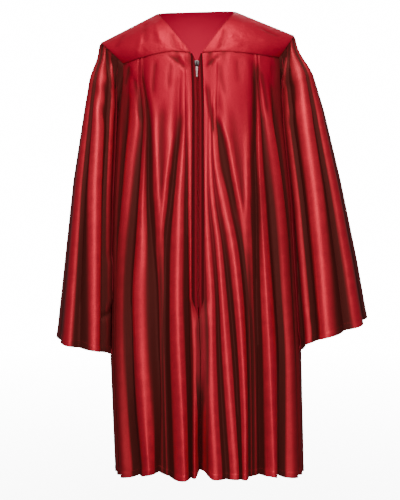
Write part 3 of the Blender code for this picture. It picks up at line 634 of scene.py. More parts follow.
# Crests and troughs in turn from the zip. The columns are x at each fold height, the stand-out at
# each lift height, and the share of a fold's side that is its broad top at each breadth height.
FRONT_FOLDS = {
    RIGHT: np.array((
        (-15, -15, -13.5, -13.5, -12.5, -12, -8, -6, -5, 0.5, 1.2, 6, 2, 0, 0, 0),
        (-20, -20, -19, -19, -18, -17, -15, -13, -12, 0, -1, -2, -6, 0, 0, 0),
        (-24, -24, -28, -33, -35, -37, -34, -28, -23, 0.5, 4, 9, 14, 0.1, 0.05, 0.05),
        (-32, -34, -40, -47, -56, -58, -59, -57, -54, -0.3, -3, -7, -11, 0, 0, 0),
        (-66, -63, -63, -65, -67, -66, -66, -65, -64, 1.5, 2.5, -7, -13, 0.6, 0, 0),
        (-98, -88, -88, -88, -83, -75, -72, -70, -74, -3, -5, -9, -15, 0, 0, 0),
        (-100, -92, -95, -99, -103, -111, -108, -98, -87, 0.5, 2.5, 5, 10, 0, 0, 0),
        (-105, -99, -104, -110, -116, -122, -122, -121, -113, -0.5, -3, -5, -12, 0, 0, 0),
        (-107, -113, -124, -131, -139, -143, -144, -138, -131, 2, 5, 8, 14, 0.1, 0, 0),
    )),
    LEFT: np.array((
        (17, 16, 15, 15, 18, 24, 25, 27, 33, 0, 0.5, 4, 13, 0, 0, 0.1),
        (21, 20, 19, 21, 28, 35, 39, 45, 52, 0, -0.2, -1.5, 3, 0, 0, 0),
        (24, 23, 23, 27, 37, 44, 52, 61, 70, 0, 0.6, 4, 10, 0, 0, 0.1),
        (28, 26, 27, 34, 46, 57, 67, 73, 78, 0, -0.6, -2, 5, 0, 0, 0),
        (31, 30, 31, 46, 62, 73, 81, 86, 86, 0, 1.5, 7, 12, 0, 0, 0.1),
        (36, 35, 44, 60, 76, 87, 93, 95, 96, -0.3, -2, -5, -8, 0, 0, 0),
        (61, 67, 76, 82, 89, 95, 100, 103, 105, 2, 3, -6, -11, 0.6, 0, 0),
        (102, 104, 104, 106, 107, 108, 112, 114, 116, -3, -5, -9, -15, 0, 0, 0),
        (105, 108, 110, 113, 118, 124, 130, 134, 138, 0.8, 3, 7, 12, 0, 0, 0),
        (108, 115, 121, 129, 135, 143, 152, 153, 152, -0.5, -3, -6, -12, 0, 0, 0),
        (111, 129, 143, 152, 159, 164, 170, 173, 175, 3, 5, 8, 13, 0.1, 0.1, 0.1),
    )),
}
# Round to the side seam: share of the way round at the chest and lower, stand-outs and breadths
SIDE_FOLDS = np.array((
    (0.32, 0.375, -2, -3, -5, -8, 0, 0, 0),
    (0.37, 0.41, 2, 3, 4, 6, 0, 0, 0),
    (0.44, 0.455, -2, -3, -4, -6, 0, 0, 0),
    (0.5, 0.5, 2, 3, 4, 7, 0, 0, 0),
))
SETTLED_HEIGHT = -400
# The sharp pleat, where the cloth laps over itself: row of the fold table, lap in millimetres
PLEAT_ROW = {RIGHT: 5, LEFT: 7}
PLEAT_LAP = 2.0
PLEAT_REACH = 7
PLEAT_EDGE = 1.6
# Creases laid over the folds: x and height where each starts, turns and ends, height, half width
FRONT_CREASES = {
    RIGHT: np.array((
        (-79, -165, -74, -270, -68, -420, 1.6, 5),
        (-40, -190, -56, -291, -68, -420, 1.6, 5),
        (-62, -140, -66, -240, -68, -350, -1.2, 8),
        (-24, -150, -38, -250, -52, -370, -1.4, 6),
        (-46, -78, -50, -105, -52, -135, -0.9, 3),
        (-74, -74, -78, -110, -80, -150, -1.1, 4),
        (-112, -80, -116, -110, -126, -150, 1.3, 5),
        (-122, -84, -126, -105, -131, -130, -1.2, 3),
        (-30, -72, -33, -95, -36, -120, 0.7, 4),
        (-54, -66, -36, -80, -16, -98, -1.5, 3),
        (-38, -64, -26, -76, -14, -90, 1.2, 2.5),
        (-120, -92, -108, -130, -100, -200, -1.4, 5),
    )),
    LEFT: np.array((
        (22, -140, 54, -219, 85, -385, 2.0, 5),
        (30, -150, 48, -240, 72, -370, -1.6, 5),
        (97, -105, 91, -230, 89, -400, 1.6, 4.5),
        (60, -150, 74, -260, 84, -360, -0.8, 9),
        (16, -110, 22, -160, 34, -230, -1.2, 4),
        (38, -78, 42, -110, 52, -150, -0.8, 5),
        (112, -90, 120, -140, 128, -190, -1.2, 4),
        (124, -80, 130, -105, 138, -135, 1.2, 4),
        (70, -72, 72, -95, 74, -125, -0.8, 4),
        (44, -66, 30, -76, 16, -92, -1.4, 3),
        (86, -70, 92, -95, 96, -140, 1.2, 4),
        (108, -76, 104, -120, 104, -200, -1.4, 5),
    )),
}
BENT_CREASE_ENDS = 0.2, 0.3
SAMPLE_TOP = -40
SAMPLE_COUNT = 340
PANEL_ROWS = 200
FINE_STEPS = 9
PANEL_LENGTH = 750
HEM_DEPTH = 12
HEM_STEP = 0.5
HEM_STEP_RUN = 0.6
# Where the rows under the hem's edge lie, as shares of the hem, for its rounded turn-up
HEM_ROWS = np.array((0.97, 0.9, 0.7, 0.5, 0.3, 0.12, 0))
CENTRE_NOTCH = -34
PLACKET_STAND = 5
PLACKET_RUN = 60
# At the notch the left front's edge goes behind the right one's: how far past it, and how deep
EDGE_OVERLAP = 4
OVERLAP_DEPTH = 7
# Where the pleat's lap begins, and the run over which it comes in
PLEAT_TOP = -70
PLEAT_RUN = 40
# Painted shade beside the edges under the zip: a band's middle and half width, the slit between
# the edges and a fainter strip on both sides of it, which ends lower down
EDGE_BAND = {RIGHT: (-14.5, 3.5), LEFT: (13.6, 3.5)}
EDGE_SHADE = 0.85
EDGE_RUN = 12
SLIT_HALF_WIDTH = 1.3
STRIP_SHADE = 0.75
STRIP_MIDDLE = 3.4
STRIP_HALF_WIDTH = 2
STRIP_END = -640
STRIP_RUN = 90
# The ledge before each pleat has painted shade, from this height down over this run
LEDGE_SHADE = 0.9
LEDGE_HALF_WIDTH = 6
LEDGE_FROM = -330
LEDGE_RUN = 150
# Painted shade where the sleeve lies over the body, from this share of the way round
SIDE_SHADE = 0.7
SIDE_DARK_FROM = 0.31
SIDE_DARK_EASE = 0.05
# Painted highlights come in this far under the seam, and the seam's painted shadow reaches this far
LINES_FROM = 20
LINES_IN = 150
SEAM_SHADE = 0.7
SEAM_SHADOW = 3
# Painted shade on the far side of the pleat's lap and in the gathers under the seam
LAP_SHADE = 0.9
LAP_SHADE_FULL = 0.6
GATHER_SHADE = 0.75
GATHER_SHADE_REACH = 0.6
# A crease's painted shade is full at this depth
CREASE_SHADE = 0.6
CREASE_DARKEST = 1.4
ZIP_END = -500
NOTCH_TOP = -640
FOLDS_FADE_OVER = 55
LEAST_STEP = 0.004
SEAM_GATHER = 0.25
SEAM_DIP = 1.8
SEAM_TUCK = 1.2
SEAM_GATHERS = 84
SEAM_GATHER_HEIGHT = 0.8
SEAM_GATHER_REACH = 26
SEAM_DIP_REACH = 4
TROUGH_SHARPNESS = 0.7
HEM_HEIGHT = -853
FRONT_HEM_RISE = 17
BACK_HEM_RISE = 8
TROUGH_HEM_RISE = 0.2
HEM_ROUNDNESS = 0.7
# Where the front's hem waves up: x, half width and rise
HEM_WAVES = np.array((
    (-84, 18, 8),
    (13, 9, 8),
    (132, 14, 5),
    (-30, 22, -2),
), float)
UNDERARM_HEIGHT = {RIGHT: -216, LEFT: -212}
# How deep between crests the cloth gets its full painted shade, and how far off those crests may be
DEEP_FOLD = 5
DEPTH_REACH = 16
DEPTH_SEARCH = 24
# How sharply it bends where a painted highlight is full, and how that bend is smoothed
SHARP_BEND = 0.034
LEAST_RUN = 0.6
BEND_SMOOTHING = 5
CORNER_COLUMNS = 14
# The corner's columns are placed by the folds at this height, over this share of a half turn
CORNER_FOLDS_AT = -100
CORNER_TURN = 0.45
TOP_TRIES = 12


def through_rows(places, values, wanted):
    """Smooth curves through rows of values at falling places, read at the wanted ones.

    Each stretch is a cubic whose slopes at its ends come from the points on both sides.
    """
    places = -places
    wanted = np.clip(-np.asarray(wanted, float), places[0], places[-1])
    slope = np.gradient(values, places, axis=-1)
    start = np.clip(np.searchsorted(places, wanted, side="right") - 1, 0, len(places) - 2)
    span = places[start + 1] - places[start]
    t = (wanted - places[start]) / span
    begin = (2 * t**3 - 3 * t**2 + 1) * values[..., start] + (t**3 - 2 * t**2 + t) * span * slope[..., start]
    end = (3 * t**2 - 2 * t**3) * values[..., start + 1] + (t**3 - t**2) * span * slope[..., start + 1]
    return begin + end


def front_knots(side, heights):
    """Share of the way round, and stand-out, of each crest and trough of a front at all heights."""
    table = FRONT_FOLDS[side]
    shares = np.abs(front_share(through_rows(FOLD_HEIGHTS, table[:, :9], heights), heights))
    edge_x = at_height(ZIP_LINE, 1, heights) + side * at_height(FRONT_EDGE, 1, heights)
    opening = ease((NOTCH_TOP - heights) / (NOTCH_TOP - HEM_HEIGHT))
    notch = CENTRE_NOTCH * opening
    if side == LEFT:
        edge_x = edge_x - EDGE_OVERLAP * opening
        notch = notch - OVERLAP_DEPTH * opening
    edge = side * front_share(edge_x, heights)
    notch = notch + PLACKET_STAND * ease((ZIP_END - heights) / PLACKET_RUN)
    settled = np.clip((FOLD_HEIGHTS[0] - heights) / (FOLD_HEIGHTS[0] - SETTLED_HEIGHT), 0, 1)
    round_side = SIDE_FOLDS[:, :1] + (SIDE_FOLDS[:, 1:2] - SIDE_FOLDS[:, :1]) * settled
    shares = np.concatenate((edge[None], shares, round_side))
    lifts = through_rows(LIFT_HEIGHTS, np.concatenate((table[:, 9:13], SIDE_FOLDS[:, 2:6])), heights)
    breadths = through_rows(BREADTH_HEIGHTS, np.concatenate((table[:, 13:], SIDE_FOLDS[:, 6:])), heights)
    number = np.arange(len(shares))[:, None]
    spread = np.maximum.accumulate(shares - LEAST_STEP * number) + LEAST_STEP * number
    shares = np.minimum(spread, 0.5 - LEAST_STEP * number[::-1])
    return shares, np.concatenate((notch[None], lifts)), np.concatenate((0 * notch[None], breadths))


def between_knots(places, lifts, breadths, columns):
    """Places and stand-outs read between crests and troughs, at each column.

    A place moves evenly from one knot to the next. A stand-out keeps its crest's height over the
    crest's breadth, then falls as a cosine does, mostly a quarter wave, which leaves crests round
    and troughs sharp.
    """
    start = np.minimum(columns.astype(int), len(places) - 2)
    step = (columns - start)[:, None]
    place = places[start] * (1 - step) + places[start + 1] * step
    first = lifts[start]
    second = lifts[start + 1]
    crest_first = first >= second
    from_crest = np.where(crest_first, step, 1 - step)
    breadth = np.where(crest_first, breadths[start], breadths[start + 1])
    from_crest = np.maximum(from_crest - breadth, 0) / (1 - breadth)
    half_wave = (1 + np.cos(np.pi * from_crest)) / 2
    quarter_wave = np.cos(np.pi / 2 * from_crest)
    wave = (1 - TROUGH_SHARPNESS) * half_wave + TROUGH_SHARPNESS * quarter_wave
    return place, np.minimum(first, second) + np.abs(first - second) * wave


def crest_share(x, y, lift, wrap=False):
    """How far each point of a grid is from being a trough, and how sharply it bends over a crest.

    The first is 1 on crests and falls to 0 with the depth below the highest parabola, of one width,
    that rests on the crests. The second is the bend of the lift along its row, over SHARP_BEND.
    """
    top = lift.copy()
    for way in range(-DEPTH_SEARCH, DEPTH_SEARCH + 1):
        reach = np.hypot(np.roll(x, way, axis=1) - x, np.roll(y, way, axis=1) - y)
        moved = np.roll(lift, way, axis=1) - (reach / DEPTH_REACH) ** 2
        if not wrap and way:
            rolled_in = slice(None, way) if way > 0 else slice(way, None)
            moved[:, rolled_in] = lift[:, rolled_in]
        top = np.maximum(top, moved)
    after = np.hypot(np.roll(x, -1, axis=1) - x, np.roll(y, -1, axis=1) - y)
    after = np.maximum(after, LEAST_RUN)
    before = np.roll(after, 1, axis=1)
    rise = (np.roll(lift, -1, axis=1) - lift) / after
    bend = 2 * (np.roll(rise, 1, axis=1) - rise) / (before + after)
    if not wrap:
        bend[:, [0, -1]] = 0
    for _ in range(BEND_SMOOTHING):
        bend = (np.roll(bend, 1, axis=1) + 2 * bend + np.roll(bend, -1, axis=1)) / 4
    return np.stack((1 - ease((top - lift) / DEEP_FOLD), ease(bend / SHARP_BEND)), axis=2)


def bent_crease(x, height, row):
    """A ridge or trough along a bent line down a panel: a bell curve that eases away at its ends."""
    places = -row[[1, 3, 5]]
    line = np.interp(-height, places, row[[0, 2, 4]])
    along = np.clip((-height - places[0]) / (places[2] - places[0]), 0, 1)
    slope = (row[4] - row[0]) / (places[2] - places[0])
    aside = (x - line) / np.hypot(1, slope)
    ends = ease(along / BENT_CREASE_ENDS[0]) * ease((1 - along) / BENT_CREASE_ENDS[1])
    return row[6] * ends * bell(aside, row[7])


def armhole_height(side, share, corner):
    """Height of the armhole's edge: a quarter of an oval from the yoke's corner to the underarm."""
    corner_share, corner_height = corner
    way = np.clip((share - corner_share) / (0.5 - corner_share), 0, 1)
    return corner_height + (UNDERARM_HEIGHT[side] - corner_height) * np.sqrt(1 - (1 - way) ** 2)


def row_shares(rows, length):
    """How far down each row lies: even, closer by the hem's edge, whose turn-up is rounded."""
    hem = HEM_DEPTH / length
    return np.concatenate((np.linspace(0, 1 - hem, rows), 1 - hem * HEM_ROWS))


def hem_step(height, low):
    """How far the cloth stands out over its doubled hem."""
    return HEM_STEP * ease((HEM_DEPTH - (height - low)) / HEM_STEP_RUN)


def panel(knots, top_of, side, steps, corners, detail=None):
    """Grid of a hanging panel with its way through the seams and its crests' attribute.

    Columns follow the folds, with more where the armhole's edge turns down at the corners, and
    rows run from the top edge to the hem. `detail` gives, from x and height, what creases and a
    pleat's lap add and how much painted shade lies there. The lap's far side, the sides under the
    sleeves, the seam, the creases and the gathers under the seam get painted shade too, and the
    painted highlights fade in under the seam. The gathers under the seam are sines whose rates
    share no factor, so that no two gathers are alike.
    """
    heights = np.linspace(SAMPLE_TOP, HEM_HEIGHT - HEM_DEPTH, SAMPLE_COUNT)
    found = knots(heights)
    columns = np.linspace(0, len(found[0]) - 1, (len(found[0]) - 1) * steps + 1)
    corner_row = np.argmin(np.abs(heights - CORNER_FOLDS_AT))
    turn = np.linspace(0, CORNER_TURN * np.pi, CORNER_COLUMNS)
    for corner_share, underarm_share in corners:
        near_top = between_knots(*found, columns)[0][:, corner_row]
        wanted = corner_share + (underarm_share - corner_share) * (1 - np.cos(turn))
        columns = np.sort(np.concatenate((columns, np.interp(wanted, near_top, columns))))
    tables = between_knots(*found, columns)

    def read(table, wanted):
        """A table of columns and heights, read at the wanted heights of each column."""
        at = np.clip((SAMPLE_TOP - wanted) / (heights[0] - heights[1]), 0, SAMPLE_COUNT - 1.001)
        low = at.astype(int)
        column = np.arange(len(columns))[None, :]
        return table[column, low] * (low + 1 - at) + table[column, low + 1] * (at - low)

    top = np.full((1, len(columns)), float(FRONT_SEAM_TOP))
    for _ in range(TOP_TRIES):
        top = top_of(read(tables[0], top))
    low = np.full((1, len(columns)), float(HEM_HEIGHT))
    toward_front = np.cos(np.pi * read(tables[0], low))
    rise = np.where(toward_front > 0, FRONT_HEM_RISE, BACK_HEM_RISE) * np.abs(toward_front) ** HEM_ROUNDNESS
    hem_x = body_point(side * read(tables[0], low), low)[0]
    for wave_x, half_width, wave_rise in HEM_WAVES:
        rise = rise + wave_rise * bell(hem_x - wave_x, half_width) * (toward_front > 0)
    low = low + rise - TROUGH_HEM_RISE * np.minimum(read(tables[1], low), 0)
    down = row_shares(PANEL_ROWS, PANEL_LENGTH)[:, None]
    height = top * (1 - down) + low * down
    share = read(tables[0], height)
    fade = ease((top - height) / FOLDS_FADE_OVER)
    lift = read(tables[1], height) * (SEAM_GATHER + (1 - SEAM_GATHER) * fade)
    x, y, out_x, out_y = body_point(side * share, height)
    creases = lap = dark = 0 * lift
    if detail is not None:
        creases, lap, dark = detail(x, height)
        lift = lift + creases
    below = top - height
    waves = np.sin(SEAM_GATHERS * share + 3 * np.sin(9 * share)) * (0.5 + 0.5 * np.sin(23 * share))
    reach = SEAM_GATHER_REACH * (1.2 + np.sin(31 * share))
    lift = lift + SEAM_GATHER_HEIGHT * waves * (np.exp(-below / reach) - np.exp(-below / SEAM_DIP_REACH))
    lift = lift - SEAM_DIP * np.exp(-below / SEAM_DIP_REACH)
    crests = crest_share(x, y, lift)
    from_centre = np.abs((share + 0.5) % 1 - 0.5)
    # Painted shade, by lowering the crests' attribute
    shades = (
        LAP_SHADE * ease(-lap / (LAP_SHADE_FULL * PLEAT_LAP)),
        dark,
        SIDE_SHADE * ease((from_centre - SIDE_DARK_FROM) / SIDE_DARK_EASE),
        SEAM_SHADE * np.exp(-below / SEAM_SHADOW),
        CREASE_SHADE * ease(-creases / CREASE_DARKEST),
        GATHER_SHADE * np.maximum(-waves, 0) * np.exp(-below / (GATHER_SHADE_REACH * reach)),
    )
    for shade in shades:
        crests = crests * (1 - shade)[..., None]
    crests[..., 1] = crests[..., 1] * ease((below - LINES_FROM) / LINES_IN)
    lift = lift + lap + hem_step(height, low)
    grid = np.stack((x + out_x * lift, y + out_y * lift, height), axis=2)
    through = np.stack((out_x, out_y, np.zeros_like(out_x)), axis=2)
    through[1:, 1:-1] = np.nan
    return to_left(side, grid, through, crests)


# The fronts' and back's satin is painted darker lower down, as shade
SATIN = satin("red_satin_cloth", PUCKER_DEPTH, 0, 0.58)
fronts = {}
for side, name in ((RIGHT, "front_right"), (LEFT, "front_left")):
    corner_x = FRONT_YOKE_CORNER_X[side]
    corner = abs(float(front_share(corner_x, front_seam(corner_x)))), float(front_seam(corner_x))

    def top_of_front(share):
        """The seam under the yoke as far as the armhole, then the armhole's edge."""
        x = body_point(side * np.minimum(share, corner[0]), corner[1])[0]
        armhole = armhole_height(side, share, corner)
        return np.where(share <= corner[0], front_seam(x) + SEAM_TUCK, armhole - SEAM_GAP)

    def front_detail(x, height):
        """What the creases add, what the pleat's lap adds, and the painted shade beside the edges and
        before the pleat.

        The lap stands out on the zip's side of the pleat's line and dips beyond it.
        """
        added = sum(bent_crease(x, height, row) for row in FRONT_CREASES[side])
        pleat = FRONT_FOLDS[side][PLEAT_ROW[side] - 1: PLEAT_ROW[side] + 1, :9]
        ledge_x, line_x = through_rows(FOLD_HEIGHTS, pleat, height.ravel()).reshape((2,) + height.shape)
        beyond = side * (x - line_x) / PLEAT_EDGE
        lap = -np.tanh(beyond) * np.exp(-np.abs(beyond) * PLEAT_EDGE / PLEAT_REACH)
        uneven = 0.55 + 0.45 * np.sin(height / 61 + side)
        lap = PLEAT_LAP * lap * ease((PLEAT_TOP - height) / PLEAT_RUN) * uneven
        middle, half_width = EDGE_BAND[side]
        off_zip = x - at_height(ZIP_LINE, 1, height)
        slit = bell(off_zip, SLIT_HALF_WIDTH)
        band = bell(off_zip - middle, half_width)
        strip = STRIP_SHADE * bell(np.abs(off_zip) - STRIP_MIDDLE, STRIP_HALF_WIDTH)
        strip = strip * ease((height - STRIP_END) / STRIP_RUN)
        beside = EDGE_SHADE * np.maximum(np.maximum(slit, band), strip) * ease((ZIP_END - height) / EDGE_RUN)
        ledge = bell(x - ledge_x, LEDGE_HALF_WIDTH) * ease((LEDGE_FROM - height) / LEDGE_RUN)
        return added, lap, np.maximum(beside, LEDGE_SHADE * ledge)

    corners = [(corner[0], 0.5)]
    knots = lambda heights: front_knots(side, heights)
    grid, through, crests = panel(knots, top_of_front, side, FINE_STEPS, corners, front_detail)
    piece = cloth(f"{name}_satin", grid, SATIN, SHADED_REVERSE, through=through, folds=crests)
    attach(piece, "gown")
    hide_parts(name)
    fronts[side] = grid


# Back
# One wide panel of satin, gathered into the back yoke and hanging in folds spaced a little
# unevenly all across.
BACK_FOLD_COUNT = 9
BACK_FOLD_LIFTS = np.array((3, 5, 8, 13), float)
# How far a fold lies off its even place, and how far it sways on the way down, as shares
BACK_UNEVEN = 0.014
BACK_SWAY = 0.009
BACK_STEPS = 8


def back_knots(heights):
    """Share of the way round, and stand-out, of each of the back's crests and troughs."""
    number = np.arange(2 * BACK_FOLD_COUNT + 1)[:, None]
    moved = BACK_UNEVEN * np.sin(2.3 * number) + BACK_SWAY * np.sin(0.9 * number + heights / 150)
    shares = 0.5 + number / number[-1] + moved * np.sin(np.pi * number / number[-1])
    depth = through_rows(LIFT_HEIGHTS, BACK_FOLD_LIFTS[None], heights)
    uneven_lift = 0.75 + 0.3 * np.sin(1.7 * number + heights / 260)
    lifts = depth * np.where(number % 2 == 0, 1, -1) * uneven_lift
    side_lift = through_rows(LIFT_HEIGHTS, SIDE_FOLDS[-1:, 2:6], heights)
    lifts = np.concatenate((side_lift, lifts[1:-1], side_lift))
    breadths = 0.22 + 0.25 * np.sin(2.9 * number + heights / 220)
    return shares + 0 * heights, lifts, np.maximum(breadths, 0)


back_corners = {}
for side in (RIGHT, LEFT):
    corner_x = BACK_YOKE_CORNER_X[side]
    corner_height = float(back_seam(corner_x))
    back_corners[side] = 1 - abs(float(front_share(corner_x, corner_height))), corner_height


def top_of_back(share):
    """The seam under the back yoke between the armholes, then each armhole's edge."""
    turned = np.where(share > 1, 2 - share, share)
    tops = []
    for side in (LEFT, RIGHT):
        corner_share, corner_height = back_corners[side]
        x = body_point(side * np.maximum(turned, corner_share), corner_height)[0]
        armhole = armhole_height(side, 1 - turned, (1 - corner_share, corner_height))
        tops.append(np.where(turned >= corner_share, back_seam(x) + SEAM_TUCK, armhole - SEAM_GAP))
    return np.where(share > 1, tops[1], tops[0])


corners = [(back_corners[LEFT][0], 0.5), (2 - back_corners[RIGHT][0], 1.5)]
back_grid, through, crests = panel(back_knots, top_of_back, LEFT, BACK_STEPS, corners)
back_piece = cloth("back_satin", back_grid, SATIN, SHADED_REVERSE, through=through, folds=crests)
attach(back_piece, "gown")
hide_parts("back")


# Sleeves
# Each bell sleeve is one panel, sewn into a tube under the arm. Its cap is gathered into the
# armhole, its folds fall from there, and its cuff has a narrow stitched hem.
# Height, outer edge from the middle, half depth
SLEEVE_SECTIONS = {
    RIGHT: np.array((
        (-50, 181, 60),
        (-90, 193, 64),
        (-170, 207, 68),
        (-300, 228, 72),
        (-450, 245, 76),
        (-600, 262, 82),
    ), float),
    LEFT: np.array((
        (-50, 192, 60),
        (-90, 206, 64),
        (-170, 231, 68),
        (-300, 263, 73),
        (-450, 295, 79),
        (-570, 317, 86),
    ), float),
}
# Folds: degrees round from the outer side by the front at the cap, below it and at the cuff, then
# the stand-outs at the cap and the cuff
SLEEVE_FOLDS = {
    RIGHT: np.array((
        (-14, -12, -10, 1, 4),
        (-5, 22, 28, -2, -3),
        (4, 50, 63, 3.5, 7),
        (12, 68, 86, -2.5, -7),
        (19, 86, 108, 3, 8),
        (25, 104, 124, -2.5, -5),
        (31, 120, 142, 3, 5),
        (37, 132, 152, -2.5, -3),
        (43, 143, 160, 2.5, 2),
        (49, 152, 166, -2.5, -2),
        (56, 160, 171, 3, 1),
        (88, 168, 176, -2, -1),
        (130, 178, 184, 0, 0),
        (184, 188, 194, 1, 2),
        (206, 210, 213, -2, -4),
        (228, 232, 235, 3, 6),
        (250, 253, 256, -3, -6),
        (272, 274, 276, 4, 7),
        (292, 294, 296, -3, -6),
        (312, 314, 316, 3, 6),
        (332, 333, 334, -2, -4),
    ), float),
    LEFT: np.array((
        (-14, -12, -10, 1, 4),
        (-2, 26, 26, -2, -5),
        (7, 55, 54, 3.5, 8),
        (14, 72, 78, -2.5, -9),
        (21, 89, 99, 3, 9),
        (27, 112, 113, -2.5, -8),
        (34, 134, 125, 3, 7),
        (40, 145, 138, -2.5, -4),
        (46, 153, 150, 2.5, 3),
        (51, 160, 160, -2.5, -3),
        (56, 167, 168, 3, 1),
        (88, 173, 175, -2, -1),
        (130, 180, 181, 0, 0),
        (184, 187, 188, 1, 2),
        (206, 207, 208, -2, -4),
        (228, 230, 232, 3, 6),
        (250, 252, 254, -3, -7),
        (272, 274, 276, 4, 8),
        (292, 294, 296, -3, -6),
        (312, 314, 316, 3, 7),
        (332, 333, 334, -2, -5),
    ), float),
}
# Creases on a sleeve's front: x and height where each starts, turns and ends, height, half width
SLEEVE_CREASES = {
    RIGHT: np.array((
        (-175, -430, -172, -490, -177, -540, 3.5, 8),
        (-166, -500, -178, -535, -197, -556, -2.5, 4),
        (-158, -520, -164, -548, -168, -580, 2.2, 3.5),
        (-168, -535, -172, -572, -176, -612, -3.5, 7),
        (-186, -540, -184, -580, -186, -616, 2.0, 4),
        (-176, -92, -172, -130, -166, -190, 1.8, 3),
        (-184, -100, -182, -140, -176, -210, -1.8, 4),
    ), float),
    LEFT: np.array((
        (190, -560, 206, -590, 214, -612, -2.5, 5),
        (222, -520, 232, -560, 236, -606, 2.2, 6),
        (176, -100, 172, -140, 168, -200, 1.8, 3),
        (168, -90, 166, -120, 162, -160, -1.8, 3),
        (186, -110, 188, -150, 186, -210, -1.6, 4),
    ), float),
}
SLEEVE_ROWS = 170
SLEEVE_STEPS = 8
SLEEVE_LENGTH = 460
SLEEVE_CLEARANCE = 5
# The inner front fold laps before the body's side: how far, and between which degrees round
SLEEVE_LAP = {RIGHT: 16, LEFT: 20}
LAP_FROM = 78
LAP_TO = 176
LAP_EASE = 34
LAP_ROOM = 4
# Painted shade on the sleeve's inner side behind the lap: how dark, and between which degrees round
LAP_DARK = 0.8
LAP_DARK_FROM = 118
LAP_DARK_TO = 186
LAP_DARK_EASE = 20
# The sleeve's head goes in behind the armhole's edge: how far, how far down and over what depth
SLEEVE_TUCK = 3
SLEEVE_TOP_DROP = 0.35
TUCK_REACH = 2.5
TUCK_IN_DEPTH = 0.02
CUFF_HEIGHT = {RIGHT: (-592, -618), LEFT: (-556, -612)}
CUFF_BOW = 1.7
CUFF_TROUGH_RISE = 0.05
CAP_DEPTH = 70
# Painted highlights are this faint at the cap, and come in over this depth
CAP_LINES_FAINT = 0.25
CAP_LINES_IN = 130
CREASES_FADE_SIDE = 0.4
# A power that narrows the sleeves' painted highlights and widens their painted shade
SLEEVE_CREST_NARROWING = 2.2
CAP_FOLDS_AT_SEAM = 0.55
FOLDS_OPEN_OVER = 34
GATHER_HEIGHT = 0.5
GATHERS = 40
GATHER_TOP = 7
GATHER_REACH = 34
ARMHOLE_CORNER = 56


def armhole_point(side, degrees):
    """The armhole's edge, all round: 0 at the shoulder tip, through the front, 180 at the underarm."""
    degrees = np.asarray(degrees, float) % 360
    behind = degrees > 180
    turn = np.where(behind, 360 - degrees, degrees)
    on_yoke = turn < ARMHOLE_CORNER
    tip_x, tip_height = SHOULDER_TIP[side]
    found = []
    halves = (-1, FRONT_YOKE_CORNER_X, front_seam), (1, BACK_YOKE_CORNER_X, back_seam)
    for facing, corner_x, seam in halves:
        angle = np.minimum(turn / ARMHOLE_CORNER, 1) * np.pi / 2
        upper = yoke_arch(tip_x, tip_height, corner_x[side], seam(corner_x[side]), angle, facing)
        corner_height = float(seam(corner_x[side]))
        corner_share = abs(float(front_share(corner_x[side], corner_height)))
        way = np.clip((turn - ARMHOLE_CORNER) / (180 - ARMHOLE_CORNER), 0, 1) * np.pi / 2
        share = corner_share + (0.5 - corner_share) * (1 - np.cos(way))
        height = corner_height + (UNDERARM_HEIGHT[side] - corner_height) * np.sin(way)
        x, y = body_point(side * share, height)[:2]
        lower = np.stack((x, facing * np.abs(y), height), axis=-1)
        found.append(np.where(on_yoke[..., None], upper, lower))
    return np.where(behind[..., None], found[1], found[0])


